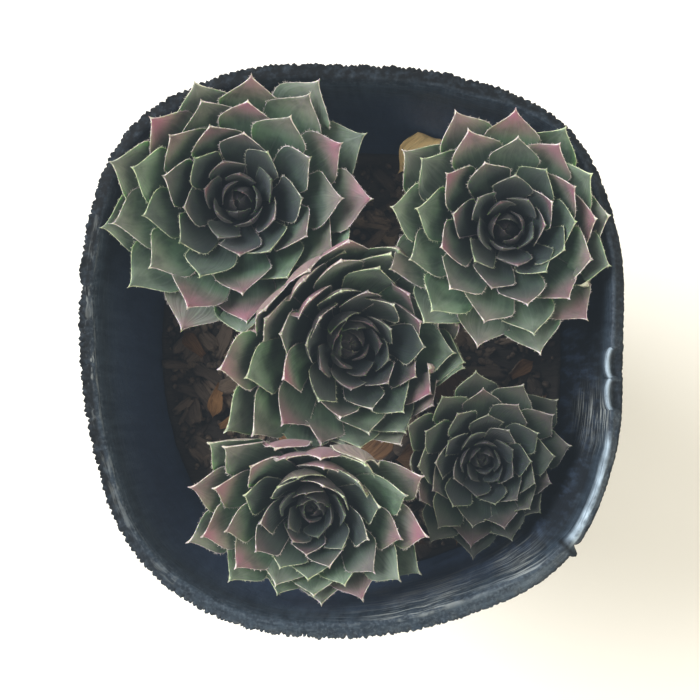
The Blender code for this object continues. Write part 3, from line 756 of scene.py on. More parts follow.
def build_pot_wall():
    profile = pot_profile()
    reach, height = profile[0]
    pot = new_primitive(
        bpy.ops.mesh.primitive_circle_add, vertices=POT_STEPS, radius=reach, location=(0.0, 0.0, height)
    )
    edit_all(pot)
    for next_reach, next_height in profile[1:]:
        bpy.ops.mesh.extrude_region_move(TRANSFORM_OT_translate={"value": (0.0, 0.0, next_height - height)})
        share = next_reach / reach
        bpy.ops.transform.resize(value=(share, share, 1.0), center_override=(0.0, 0.0, next_height))
        reach, height = next_reach, next_height
    deselect()
    flat = points_of(pot)
    radius, azimuth, level = round_axis(flat)
    across = radius - (MEAN_RIM - LIP)
    # Painted highlight along the rolled strip of the lip's inner edge
    strip = bright_strip(azimuth) * smooth((across + EDGE_FADE) / EDGE_FADE)
    strip *= smooth((1.1 * strip_width(azimuth) - across) / EDGE_FADE)
    high = level > RIM_ZONE
    dented = from_dent(azimuth) < 1.0
    # Painted glints along the inner edge of each dent
    glint = 0.9 * dented * np.exp(-(((across - 0.00015) / 0.00013) ** 2))
    # A faint pale, glossier band across the lip near -54 degrees
    pale_lip_band = 0.08 * near(azimuth, -54.0, 9.0)
    pale_lip_band *= smooth((across + 0.0002) / EDGE_FADE) * smooth((LIP - across) / 0.0006)
    strip = np.max([strip, glint, pale_lip_band], 0)
    # Painted shade on the lip: its left and top, its outer edge on the right, the line of the tear and the
    # hollows of the dents
    start = 0.0002 - 0.0006 * near(azimuth, 110.0, 55.0)
    rightward = smooth((75.0 - np.abs(away_from(azimuth, -2.0))) / 40.0)
    black = np.max([
        smooth((np.abs(away_from(azimuth, -65.0)) - 35.0) / 55.0) * smooth((across - start) / 0.0006),
        rightward * smooth((across - 0.0019) / EDGE_FADE),
        near(azimuth, TEAR, 0.5) * (across > -0.0005),
        0.8 * dented * smooth((across - 0.0004) / EDGE_FADE),
    ], 0)
    dusty = np.max([near(azimuth, *patch) for patch in DUST_PATCHES], 0)
    dusty *= smooth((level - 0.052) / 0.008) * (1.0 - smooth(across / 0.0008))
    # Besides the dust, a painted highlight along the left of the lip, brighter over the crumples and the
    # pinch
    crumpled = np.maximum(near(azimuth, CRUMPLED, 5.0), near(azimuth, PINCHED, 2.0))
    leftward = ((azimuth > 2.65) | (azimuth < -2.2)) * (np.abs(across - 0.0006) < 0.0006) * high
    dusty = np.maximum(dusty, (0.25 + 0.75 * crumpled) * leftward)
    # Painted shade on the wall below the lip on the right, deeper further down
    shaded = rightward * blend(0.95, 0.84, smooth((level - 0.060) / 0.012))
    # Kept at the vertices: the painted highlights, the painted shade, and the dust with its painted highlight
    note(pot, polish=strip * high, black=np.where(high, black, shaded), dusty=dusty)
    place_points(pot, press_to_outline(flat))
    edit_all(pot)
    bpy.ops.mesh.normals_make_consistent()
    deselect()
    return pot


def build_pot_floor():
    """The raised floor, with a drain hole in the middle and a ring of them round it."""
    rounds = [(FLOOR_RADIUS + HAIRLINE, 0.0, 0.0), (DRAIN_RADIUS, 0.0, 0.0)]
    for step in range(DRAIN_COUNT):
        rounds.append((DRAIN_RADIUS, DRAIN_CIRCLE_RADIUS, math.tau * step / DRAIN_COUNT))
    circle = bpy.ops.curve.primitive_bezier_circle_add
    rings = [new_primitive(circle, radius=size, location=turn_point(*place, 0.0)) for size, *place in rounds]
    floor = joined(rings, "pot_floor")
    floor.data.dimensions = "2D"
    floor.data.fill_mode = "BOTH"
    floor.data.extrude = FILM / 2.0
    floor.data.resolution_u = 16
    bpy.ops.object.convert(target="MESH")
    floor.data.transform(Matrix.Translation((0.0, 0.0, FLOOR_RISE + FILM / 2.0)))
    return floor


def build_pot(material):
    wall = build_pot_wall()
    inside = len(wall.data.vertices)
    thicken(wall, FILM, 1.0)
    # inner is the face inside the pot, which the material paints lighter and bluer as painted light
    note(wall, inner=np.arange(len(wall.data.vertices)) < inside)
    pot = joined([wall, build_pot_floor()], "nursery_pot")
    finish_piece(pot, material)
    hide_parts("pot")


def plant_frame(plant):
    """The rosette's own frame: its origin is the crown on top of the stem, and +Z is its axis."""
    lean_azimuth = math.radians(plant.lean_azimuth)
    hinge = Vector((-math.sin(lean_azimuth), math.cos(lean_azimuth), 0.0))
    lean = Matrix.Rotation(math.radians(plant.lean), 4, hinge)
    return Matrix.Translation((plant.foot_x, plant.foot_y, plant.crown)) @ lean


def meeting_planes(plant):
    """A point on each plane that bounds this rosette, and the direction out through it."""
    feet = {other.name: np.array((other.foot_x, other.foot_y, MEETING_HEIGHT)) for other in PLANTS}
    planes = []
    for first, second, share, over in MEETINGS:
        if plant.name not in (first, second):
            continue
        point = blend(feet[first], feet[second], share)
        outward = unit(feet[second] - feet[first])
        outward = outward * math.cos(math.radians(over)) - np.array((0.0, 0.0, math.sin(math.radians(over))))
        outward = outward if plant.name == first else -outward
        planes.append((point + MEETING_OVERLAP * outward, outward))
    return planes


def press_back(points, planes, spare=0.0):
    """Points eased back and up where they come near the next rosette, so that they stay on their own side."""
    for place, outward in planes:
        along_plane = unit(np.array((0.0, 0.0, 1.0)) - outward[2] * outward)
        depth = (points - place) @ outward + NEIGHBOUR_GAP + spare
        eased = np.where(depth > -PRESS_DEPTH, -PRESS_DEPTH * np.exp(-depth / PRESS_DEPTH - 1.0), depth)
        back = np.minimum(eased - depth, 0.0)[:, None]
        points = points + back * outward - PRESS_RISE * back * along_plane
    return points


def is_clear(points):
    """Whether the points keep off the potting mix, the wall and the rim."""
    reach, azimuth, z = round_axis(points)
    if (z < soil_height(points[:, 0], points[:, 1]) + SOIL_CLEARANCE).any():
        return False
    above = z > RIM_HEIGHT + RIM_CLEARANCE
    limit = np.where(above, rim_reach(azimuth) - RIM_OVERHANG, inner_reach(azimuth, z) - WALL_CLEARANCE)
    return not (reach > limit).any()


def leaf_half_width(share, shoulder=SHOULDER, cusp=CUSP):
    """A broad leaf that is widest past its middle and runs out in a drawn-out point."""
    past = np.clip((share - shoulder) / (1.0 - shoulder), 0.0, 1.0)
    root = blend(ROOT_WIDTH, 1.0, smooth(share / shoulder))
    return np.where(share < shoulder, root, (0.5 + 0.5 * np.cos(math.pi * past)) ** cusp)


def into(frame, points):
    matrix = np.array(frame)
    return points @ matrix[:3, :3].T + matrix[:3, 3]


Leaf = namedtuple("Leaf", "plant age azimuth reach length_share width_share spare")


def bend_leaf(flat, leaf, planes, edge=0.0, wave=None):
    """Bend flat leaf points into place. A flat point is its share of the length, its side from -1 to 1, and
    the skin that it is on, from -1 for the back to 1 for the face. wave is the ruffle's phase, the twist and
    the flick of the tip; without it the leaf is the frame's plainer one."""
    along, side, skin = flat.T
    plant, age = leaf.plant, leaf.age
    length = plant.radius * blend(LEAF_LENGTH_OLD, LEAF_LENGTH_YOUNG, age**LENGTH_SPACING) * leaf.length_share
    length *= (leaf.reach / plant.radius) ** CROWDED_LENGTH
    root_reach = plant.radius * blend(LEAF_ROOT_OLD, LEAF_ROOT_YOUNG, age)
    root_height = plant.radius * LEAF_ROOT_RISE * age
    tip_reach = leaf.reach * (1.0 - age**TIP_SPACING)
    bend = blend(LEAF_BEND_OLD, LEAF_BEND_YOUNG, age)
    if wave:
        bend += CROWDED_BEND * max(1.0 - leaf.reach / plant.radius, 0.0) * (1.0 - age)
    chord = length * math.sin(bend) / bend
    start = math.acos(min(max((tip_reach - root_reach) / chord, STEEPEST if wave else -0.4), 1.0)) - bend
    angle = start + 2.0 * bend * along
    out = root_reach + length / (2.0 * bend) * (np.sin(angle) - math.sin(start))
    up = root_height - length / (2.0 * bend) * (np.cos(angle) - math.cos(start))
    half = plant.half_width * leaf.width_share * (1.0 - LEAF_NARROWING * age**NARROWING_SPACING)
    half = half * (leaf_half_width(along, FINE_SHOULDER, FINE_CUSP) if wave else leaf_half_width(along))
    thickness = plant.radius * LEAF_THICKNESS * (1.0 - 0.55 * along) * (1.0 - 0.45 * age)
    around = np.maximum(out, np.maximum(half, 1e-6))
    cup = np.minimum(half * half * np.maximum(np.sin(angle), 0.0) / (2.0 * around) + CUP * half, 0.6 * half)
    phase, twist, flick = wave or (0.0, 0.0, 0.0)
    lift = cup * side**2 + RUFFLE * half * side**2 * np.sin(RUFFLE_RATE * along + phase + 2.0 * side)
    lift += twist * side * half * along - flick * length * np.maximum(along - FLICK_FROM, 0.0) ** 2
    middle = np.stack([out - np.sin(angle) * lift, half * side, up + np.cos(angle) * lift], 1)
    inward = np.stack([-np.sin(angle), np.zeros_like(angle), np.cos(angle)], 1)
    frame = plant_frame(plant) @ Matrix.Rotation(leaf.azimuth, 4, "Z")
    depth = skin * (thickness / 2.0 * (1.0 - np.abs(side) ** 2.4) + edge)
    middle = press_back(into(frame, middle), planes, thickness / 2.0 + leaf.spare)
    return middle + depth[:, None] * (inward @ np.array(frame)[:3, :3].T), half


def flat_line(shares, side):
    """Flat points along a leaf, on one side of its middle."""
    return np.stack([shares, np.full_like(shares, side), np.zeros_like(shares)], 1)


def guide_flat(stations):
    """Flat points on the margins and down the middle of both skins: enough to test what a leaf clears."""
    around = ((1.0, 0.0), (0.0, 1.0), (-1.0, 0.0), (0.0, -1.0))
    return np.array([(share, *place) for share in stations for place in around])


def guide_points(rows, tip):
    rows = [*rows.reshape(-1, 4, 3), np.repeat(tip[None], 4, 0)]
    steps = [blend(*pair, share) for pair in zip(rows, rows[1:]) for share in (0.0, 0.34, 0.67)]
    return np.concatenate([*steps, tip[None]])


def leaf_is_clear(leaf, planes):
    """Whether a leaf has room. Only its outer part may be pressed against a neighbour."""
    shares = np.array(SQUEEZE_STATIONS)
    line, _ = bend_leaf(flat_line(shares, 0.0), leaf, [])
    allowed = SQUEEZE * leaf.plant.radius * np.maximum(shares - SQUEEZE_FROM, 0.0)
    for place, outward in planes:
        if ((line - place) @ outward > allowed).any():
            return False
    flat = guide_flat(YOUNG_STATIONS if leaf.age > YOUNG_FROM_AGE else OLD_STATIONS)
    tip, _ = bend_leaf(np.array([(1.0, 0.0, 0.0)]), leaf, planes)
    return is_clear(guide_points(bend_leaf(flat, leaf, planes)[0], tip[0]))


def open_reach(plant, azimuth, planes):
    """How far the oldest leaf can reach at this azimuth: what stands in its way makes it stand up steeper."""
    for step in range(CLOSING_STEPS):
        reach = plant.radius * (1.0 - CLOSING_STEP * step)
        if leaf_is_clear(Leaf(plant, 0.0, azimuth, reach, 1.0, 1.0, 0.0), planes):
            break
    return reach


def leaves_of(plant, planes, drawn):
    """The rosette's leaves, oldest first. One that finds no room is left out."""
    leaves = []
    for index in range(plant.leaves):
        age = index / (plant.leaves - 1)
        azimuth = math.radians(plant.first_azimuth + plant.turn * plant.divergence * index)
        length_share = drawn.uniform(0.96, 1.04)
        width_share = drawn.uniform(0.94, 1.05)
        spare = NEIGHBOUR_SPREAD * (0.618 * index % 1.0)
        reach = open_reach(plant, azimuth, planes)
        for _ in range(CLOSING_STEPS):
            leaf = Leaf(plant, age, azimuth, reach, length_share, width_share, spare)
            if leaf_is_clear(leaf, planes):
                leaves.append(leaf)
                break
            reach *= 1.0 - CLOSING_STEP
    return leaves


def heart_of(plant):
    """The unopened leaves in the middle of the bud, each smaller than the last."""
    leaves = []
    for step in range(HEART_COUNT):
        azimuth = math.radians(plant.first_azimuth + plant.turn * plant.divergence * (plant.leaves + step))
        share = step / HEART_COUNT
        reach = plant.radius * (1.0 - 0.9 * share)
        leaves.append(Leaf(plant, 1.0, azimuth, reach, 0.95 - 0.40 * share, 0.85 - 0.45 * share, 0.0))
    return leaves


def model_blade(name, rows, columns):
    """A flat closed blade: 1 long along +X from the root, 2 wide and 2 thick, drawn together at its tip. Its
    rows lie closer towards the tip, and its columns towards the margins."""
    grid = {"x_subdivisions": rows, "y_subdivisions": columns, "size": 2.0, "location": (0.0, 0.0, 1.0)}
    blade = new_primitive(bpy.ops.mesh.primitive_grid_add, **grid)
    blade.name = name
    edit_all(blade)
    bpy.ops.transform.resize(value=(0.5, 1.0, 1.0), center_override=(-1.0, 0.0, 0.0))
    bpy.ops.transform.translate(value=(1.0, 0.0, 0.0))
    bpy.ops.mesh.extrude_region_move(TRANSFORM_OT_translate={"value": (0.0, 0.0, -2.0)})
    pick(blade, lambda place: place.x > 0.999)
    bpy.ops.mesh.merge(type="CENTER")
    bpy.ops.mesh.select_all(action="SELECT")
    bpy.ops.mesh.normals_make_consistent()
    deselect()
    flat = points_of(blade)
    flat[:, 0] = 1.0 - (1.0 - flat[:, 0]) ** 1.3
    flat[:, 1] = np.sin(flat[:, 1] * math.pi / 2.0)
    return blade, flat


def leaf_outward(leaf, planes, wave):
    """The direction square to a leaf's back near its tip."""
    flat = np.array([(0.75, 0.0, 0.0), (0.85, 0.0, 0.0), (0.75, 0.4, 0.0)])
    root, ahead, beside = bend_leaf(flat, leaf, planes, 0.0, wave)[0]
    return Vector(np.cross(beside - root, ahead - root)).normalized()


def depths_over(points, away, trees):
    """How far each point has come out on the inner side of the leaves that should cover it: the way to their
    outer skin, or 0 where it is covered as it should be."""
    depths = np.zeros(len(points))
    for index, place in enumerate(points):
        origin = Vector(place)
        for tree in trees:
            crossed = 0.0
            hits = 0
            while hits < 2:
                where, _, _, way = tree.ray_cast(origin + away * crossed, away, TUCK_REACH)
                if where is None:
                    break
                hits += 1
                crossed += way + 0.00001
            if hits:
                depths[index] = max(depths[index], crossed + TUCK_GAP)
    return depths


def tuck_under(points, flat, away, trees):
    """An older leaf's points, eased out from where they would come through the younger leaves over it."""
    outer = flat[:, 0] > TUCKED_FROM
    depths = np.zeros(len(points))
    depths[outer] = depths_over(points[outer], away, trees)
    return points + depths[:, None] * np.array(away)


def margin_hairs(leaf, planes, wave, drawn):
    """Root, direction, size and shade of each hair along both margins of a leaf."""
    shares = np.linspace(HAIR_FROM, 1.0, 90)
    # Hairs in the bud are darker, partly as painted shade in the closed heart
    shade = 1.0 - 0.92 * smooth((leaf.age - 0.64) / 0.20)
    found = []
    for side in (1.0, -1.0):
        edge, _ = bend_leaf(flat_line(shares, side), leaf, planes, 0.0, wave)
        inner, _ = bend_leaf(flat_line(shares, 0.8 * side), leaf, planes, 0.0, wave)
        run = np.concatenate([[0.0], np.cumsum(np.linalg.norm(np.diff(edge, axis=0), axis=1))])
        count = int(run[-1] / HAIR_SPACING)
        at = np.sort(drawn.uniform(0.0, run[-1], count) * 0.25 + np.linspace(0.0, run[-1], count) * 0.75)
        lean = unit(edge - inner) + HAIR_TILT * unit(np.gradient(edge, axis=0))
        roots, aim = (np.stack([np.interp(at, run, part) for part in line.T], 1) for line in (edge, lean))
        aim = unit(aim + drawn.normal(0.0, HAIR_SCATTER, aim.shape))
        found.append((roots, aim, drawn.uniform(0.55, 1.15, count), np.full(count, shade)))
    return [np.concatenate(parts) for parts in zip(*found)]


def model_hair():
    """One hair: a slim three-sided cone that stands on +Z, 1 long with a base radius of 1."""
    cone = {"vertices": 3, "radius1": 1.0, "radius2": 0.0, "depth": 1.0, "location": (0.0, 0.0, 0.5)}
    hair = new_primitive(bpy.ops.mesh.primitive_cone_add, **cone)
    edit_all(hair)
    bpy.ops.mesh.quads_convert_to_tris()
    deselect()
    return hair


def hair_piece(name, hair, roots, aims, sizes, shades, blushes):
    """All hairs of a rosette in one mesh: thousands of copies of one cone, each turned its own way."""
    shape = points_of(hair)
    across = unit(np.cross(aims, (0.31, 0.42, 0.85)))
    beside = np.cross(aims, across)
    axes = np.stack([HAIR_RADIUS * across, HAIR_RADIUS * beside, HAIR_LENGTH * sizes[:, None] * aims], 1)
    points = roots[:, None] + shape @ axes
    faces = np.array([tuple(face.vertices) for face in hair.data.polygons])
    many = faces[None] + np.arange(len(roots))[:, None, None] * len(shape)
    mesh = bpy.data.meshes.new(name)
    mesh.from_pydata(points.reshape(-1, 3), [], many.reshape(-1, 3).tolist())
    made = bpy.data.objects.new(name, mesh)
    bpy.context.scene.collection.objects.link(made)
    tones = shades * np.clip(sizes - 0.15, 0.0, 1.0)
    note(made, tone=np.repeat(tones, len(shape)), blush=np.repeat(blushes, len(shape)))
    return made


def build_stem(plant):
    """The short stem and the small round core that the leaves stand on."""
    height = plant.crown + 0.0005 - STEM_FOOT
    middle = (plant.foot_x, plant.foot_y, STEM_FOOT + height / 2.0)
    stem = new_primitive(
        bpy.ops.mesh.primitive_cylinder_add, vertices=24, radius=STEM_RADIUS, depth=height, location=middle
    )
    core = new_primitive(bpy.ops.mesh.primitive_uv_sphere_add, segments=20, ring_count=12)
    radius = plant.radius
    stretch = Matrix.Diagonal((0.14 * radius, 0.14 * radius, 0.14 * radius, 1.0))
    core.data.transform(plant_frame(plant) @ Matrix.Translation((0.0, 0.0, 0.03 * radius)) @ stretch)
    for piece in (stem, core):
        note(piece, along=0.0, side=0.0, age=1.0, back=0.0, tone=0.5, blush=0.0, dusk=0.0, margin=1.0)
    return [stem, core]


def build_rosette(plant, seed, blade, flat, hair, leaf_skin, hair_skin):
    planes = meeting_planes(plant)
    drawn = random.Random(seed)
    finer = np.random.default_rng(seed)
    pieces = build_stem(plant)
    hairs = []
    trees = []
    faces = [tuple(face.vertices) for face in blade.data.polygons]
    for leaf in reversed(leaves_of(plant, planes, drawn) + heart_of(plant)):
        piece = own_copy(blade)
        wave = (finer.uniform(0.0, math.tau), finer.normal(0.0, TWIST), finer.uniform(0.2, 0.9))
        points, half = bend_leaf(flat, leaf, planes, MARGIN_EDGE, wave)
        over = [trees[-step] for step in OVERLAPS if step <= len(trees)]
        away = leaf_outward(leaf, planes, wave)
        if leaf.age < TUCKED_AGE:
            points = tuck_under(points, flat, away, over)
        trees.append(BVHTree.FromPolygons(points.tolist(), faces))
        place_points(piece, points)
        margin = (1.0 - np.abs(flat[:, 1])) * half * 1000.0
        tone = BRIGHTEST * finer.uniform(0.0, 1.0)
        blush = PINKNESS[plant.name] * finer.uniform(0.0, 1.0) ** BLUSH_POWER
        blush *= 0.25 + 0.75 * smooth((leaf.age - 0.05) / 0.18)
        colour_age = leaf.age
        for name, azimuth, spread, oldest, youngest, *marks in MARKED_LEAVES:
            apart = abs(away_from(leaf.azimuth, azimuth))
            if name == plant.name and oldest <= leaf.age <= youngest and apart < spread:
                tone, blush, colour_age = marks
        note(piece, along=flat[:, 0], side=flat[:, 1], back=flat[:, 2] < 0.0, margin=margin)
        note(piece, age=colour_age, tone=tone, blush=blush, dusk=PAINTED_SHADE[plant.name])
        pieces.append(piece)
        found = margin_hairs(leaf, planes, wave, finer)
        if leaf.age < TUCKED_AGE:
            bare = depths_over(found[0], away, over) == 0.0
            found = [part[bare] for part in found]
        # Painted shade: the hairs of a rosette in shade are darker
        found[3] *= 1.0 - HAIR_PAINTED_SHADE * PAINTED_SHADE[plant.name]
        hairs.append([*found, np.full(len(found[0]), blush)])
    rosette = joined(pieces, "leaves_" + plant.name)
    finish_piece(rosette, leaf_skin)
    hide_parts("rosette_" + plant.name)
    hairs = (np.concatenate(parts) for parts in zip(*hairs))
    fringe = hair_piece("margin_hairs_" + plant.name, hair, *hairs)
    finish_piece(fringe, hair_skin)


def bend_withered(flat, frame, planes, slope, droop, length, half_width, twist, thickness):
    """Bend flat points into a leaf that sinks as it goes out."""
    share, side, skin = flat.T
    angle = slope - droop * share
    along = length * (np.sin(slope) - np.sin(angle)) / droop
    up = -length * (np.cos(slope) - np.cos(angle)) / droop
    half = half_width * leaf_half_width(share)
    inward = unit(np.stack([-np.sin(angle), twist * share, np.cos(angle)], 1))
    lift = 0.35 * half * side**2 + skin * thickness / 2.0
    points = np.stack([WITHERED_ROOT + along, half * side, up], 1) + inward * lift[:, None]
    return press_back(into(frame, points), planes)


def crinkles(points, rate):
    return np.array([noise.noise(Vector(place) * rate) for place in points])


def dry_leaf(blade, flat, points, tone):
    piece = own_copy(blade)
    place_points(piece, points)
    note(piece, along=flat[:, 0], side=flat[:, 1], tone=tone)
    return piece


def build_withered_leaf(blade, flat, plant, planes, azimuth, length, half_width, drawn, tone):
    """One withered leaf, which droops from the sleeve to the mix, or None where there is no room for it."""
    frame = Matrix.Translation((plant.foot_x, plant.foot_y, SLEEVE_LOW + SLEEVE_HEIGHT / 2.0))
    frame = frame @ Matrix.Rotation(azimuth, 4, "Z")
    slope = WITHERED_SLOPE + drawn.uniform(-0.06, 0.10)
    twist = drawn.uniform(-0.25, 0.25)
    droop = WITHERED_DROOP
    guides = guide_flat(WITHERED_STATIONS)
    for _ in range(CLOSING_STEPS):
        sizes = (slope, droop, length, half_width, twist)
        rows = bend_withered(guides, frame, planes, *sizes, WITHERED_THICKNESS)
        tip = bend_withered(np.array([(1.0, 0.0, 0.0)]), frame, [], *sizes, 0.0)
        beyond = max([float((tip[0] - place) @ outward) for place, outward in planes])
        if beyond < -NEIGHBOUR_GAP and is_clear(guide_points(rows[4:], tip[0])):
            break
        length *= 1.0 - CLOSING_STEP
        droop *= 1.0 - CLOSING_STEP
    else:
        return None
    points = bend_withered(flat, frame, planes, *sizes, WITHERED_FILM)
    points[:, 2] += 0.0004 * crinkles(points, 520.0) * flat[:, 0]
    return dry_leaf(blade, flat, points, tone)


def build_sleeve(plant):
    """The torn sleeve of old leaf bases round the stem."""
    outer = STEM_RADIUS + HOLE_CLEARANCE + SLEEVE_WALL
    sleeve = new_primitive(
        bpy.ops.mesh.primitive_cylinder_add,
        vertices=40,
        radius=outer - 0.0003,
        depth=SLEEVE_HEIGHT,
        end_fill_type="NOTHING",
        location=(plant.foot_x, plant.foot_y, SLEEVE_LOW + SLEEVE_HEIGHT / 2.0),
    )
    edit_all(sleeve)
    bpy.ops.mesh.subdivide(number_cuts=2)
    deselect()
    points = points_of(sleeve)
    middle = np.array((plant.foot_x, plant.foot_y, 0.0))
    points[:, :2] += (points - middle)[:, :2] * 0.10 * crinkles(points, 900.0)[:, None]
    place_points(sleeve, points)
    thicken(sleeve, SLEEVE_FILM, -1.0)
    note(sleeve, along=0.3, side=0.0, tone=0.25)
    return sleeve


def build_withered_leaves(plant, seed, blade, flat, material):
    planes = meeting_planes(plant)
    drawn = random.Random(seed)
    tones = random.Random(seed + 50)
    first_azimuth = drawn.uniform(0.0, math.tau)
    if plant.name == LONG_LEAF_PLANT:
        first_azimuth = math.radians(LONG_LEAF_AZIMUTH)
    pieces = [build_sleeve(plant)]
    for index in range(WITHERED_COUNT):
        azimuth = first_azimuth + math.tau * index / WITHERED_COUNT
        length = WITHERED_LENGTH * plant.radius * drawn.uniform(0.75, 1.1)
        half_width = WITHERED_HALF_WIDTH * plant.radius * drawn.uniform(0.8, 1.1)
        tone = tones.uniform(0.0, 0.35)
        if plant.name == LONG_LEAF_PLANT and index == 0:
            length = LONG_LEAF_LENGTH
            half_width = LONG_LEAF_HALF_WIDTH
            tone = 1.0
        leaf = build_withered_leaf(blade, flat, plant, planes, azimuth, length, half_width, drawn, tone)
        if leaf:
            pieces.append(leaf)
    piece = joined(pieces, "withered_leaves_" + plant.name)
    finish_piece(piece, material)
    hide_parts("withered_" + plant.name)


def build_mix(material):
    """The settled mix: a closed body whose top is rough with crumbs."""
    bottom = FLOOR_RISE + WALL + GAP
    mix = new_primitive(bpy.ops.mesh.primitive_circle_add, vertices=SOIL_STEPS, radius=1.0, fill_type="NGON")
    edit_all(mix)
    bpy.ops.mesh.extrude_region_move(TRANSFORM_OT_translate={"value": (0.0, 0.0, 1.0)})
    for ring in range(SOIL_RINGS - 1, 0, -1):
        bpy.ops.mesh.inset(thickness=0.0)
        share = ring / (ring + 1.0)
        bpy.ops.transform.resize(value=(share, share, 1.0), center_override=(0.0, 0.0, 1.0))
    bpy.ops.mesh.merge(type="CENTER")
    deselect()
    share, azimuth, level = round_axis(points_of(mix))
    top = level > 0.5
    reach = (wall_reach(azimuth, np.where(top, SOIL_LEVEL, bottom)) - FILM - HAIRLINE) * share
    points = from_axis(reach, azimuth, 0.3)
    rough = np.array([noise.fractal(Vector(place) * 420.0, 0.8, 2.1, 4) for place in points])
    settled = soil_height(points[:, 0], points[:, 1]) + CRUMBLE * rough - GAP
    points[:, 2] = np.where(top, settled, bottom)
    place_points(mix, points)
    mix.name = "bark_mix"
    note(mix, tone=0.25)
    keep_grain(mix, points_of(mix))
    finish_piece(mix, material)
    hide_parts("potting_mix")


def keep_grain(piece, places):
    """Keep each vertex's place in its own chip, so that the fibres run along the chip."""
    attribute = piece.data.attributes.new("grain", "FLOAT_VECTOR", "POINT")
    attribute.data.foreach_set("vector", np.asarray(places, np.float32).ravel())


def model_chips(count):
    """A few bark chips, 1 long: split slabs with broken ends."""
    drawn = random.Random(CHIP_SHAPE_SEED)
    noise.seed_set(CHIP_SHAPE_SEED)
    chips = []
    for _ in range(count):
        chip = new_primitive(bpy.ops.mesh.primitive_cube_add, size=1.0)
        edit_all(chip)
        bpy.ops.mesh.subdivide(number_cuts=3, smoothness=0.08)
        deselect()
        shift = Vector((drawn.uniform(0.0, 50.0), drawn.uniform(0.0, 50.0), 0.0))
        taper = drawn.uniform(0.0, 0.28)
        points = points_of(chip)
        for place in points:
            rough = noise.noise_vector(Vector(place) * 2.3 + shift)
            place += np.array(rough) * (0.26, 0.36, 0.34)
            place[1] *= 1.0 - taper * (place[0] + 0.5) - 0.10 * abs(2.0 * place[0]) ** 4.0
            place[2] *= 1.0 - 0.35 * abs(2.0 * place[0]) ** 3.0
        place_points(chip, points)
        chips.append(chip)
    return chips


def kept_inside(points):
    """Points drawn in where they would come through the pot's wall."""
    reach, *place = round_axis(points)
    share = np.minimum((inner_reach(*place) - HAIRLINE) / np.maximum(reach, 1e-9), 1.0)
    return points * np.stack([share, share, np.ones_like(share)], 1)


def lay_chip(master, sizes, place, turn, tone):
    chip = own_copy(master)
    local = points_of(master) * sizes
    matrix = Matrix.Translation(place) @ Euler(turn).to_matrix().to_4x4()
    place_points(chip, kept_inside(into(matrix, local)))
    note(chip, tone=tone)
    keep_grain(chip, local + np.array((tone, 2.0 * tone, 0.0)))
    return chip


def mix_place(drawn, most):
    distance = 0.0
    while distance < CHIP_TO_STEM:
        azimuth = drawn.uniform(0.0, math.tau)
        share = math.sqrt(drawn.uniform(0.02, most))
        place = turn_point(float(inner_reach(azimuth, SOIL_LEVEL)) * share, azimuth, 0.0)
        distance = min(math.hypot(place.x - plant.foot_x, place.y - plant.foot_y) for plant in PLANTS)
    place.z = float(soil_height(place.x, place.y))
    return place


def build_chips(material):
    """The bark chips that show on the mix: the large ones split in three, and splinters between them."""
    masters = model_chips(6)
    drawn = random.Random(CHIP_SEED)
    tones = random.Random(SPLINTER_SEED)
    laid = []
    for index in range(CHIP_COUNT):
        ranges = ((CHIP_LENGTH, 0.6, 1.2), (CHIP_WIDTH, 0.7, 1.3), (CHIP_THICKNESS, 0.8, 1.3))
        sizes = np.array([size * drawn.uniform(least, most) for size, least, most in ranges])
        for _ in range(CORNER_DRAWS):
            drawn.random()
        place = mix_place(drawn, 0.74)
        place.z += drawn.uniform(0.0, 0.0006)
        turn = (drawn.uniform(-0.40, 0.40), drawn.uniform(-0.25, 0.25), drawn.uniform(0.0, math.tau))
        for strip in (-1, 0, 1):
            aside = 0.30 * strip * sizes[1]
            beside = turn_point(aside, turn[2] + math.pi / 2.0, tones.uniform(-0.0003, 0.0003))
            split = sizes * (tones.uniform(0.65, 1.05), tones.uniform(0.30, 0.50), tones.uniform(0.7, 1.1))
            askew = (*turn[:2], turn[2] + tones.uniform(-0.14, 0.14))
            master = masters[(index + strip) % len(masters)]
            laid.append(lay_chip(master, split, place + beside, askew, tones.uniform(0.1, 0.9)))
    for index in range(SPLINTER_COUNT):
        size = tones.uniform(0.0018, 0.0068)
        sizes = size * np.array((1.0, tones.uniform(0.18, 0.5), tones.uniform(0.10, 0.25)))
        place = mix_place(tones, 0.90)
        place.z += tones.uniform(-0.0002, 0.0008)
        turn = (tones.uniform(-0.5, 0.5), tones.uniform(-0.45, 0.45), tones.uniform(0.0, math.tau))
        laid.append(lay_chip(masters[index % len(masters)], sizes, place, turn, tones.uniform(0.0, 0.8)))
    finish_piece(joined(laid, "bark_chips"), material)
    for master in masters:
        bpy.data.objects.remove(master)


def build_crumbs(material):
    """Crumbs of bark and dust between the chips."""
    master = new_primitive(bpy.ops.mesh.primitive_ico_sphere_add, subdivisions=1, radius=0.5)
    drawn = random.Random(CRUMB_SEED)
    laid = []
    for _ in range(CRUMB_COUNT):
        size = drawn.uniform(0.0005, 0.0022)
        sizes = size * np.array((1.0, drawn.uniform(0.6, 1.0), drawn.uniform(0.5, 0.9)))
        place = mix_place(drawn, 0.94)
        turn = [drawn.uniform(0.0, 6.0) for _ in range(3)]
        laid.append(lay_chip(master, sizes, place, turn, drawn.uniform(0.0, 0.7)))
    finish_piece(joined(laid, "bark_crumbs"), material)
    bpy.data.objects.remove(master)


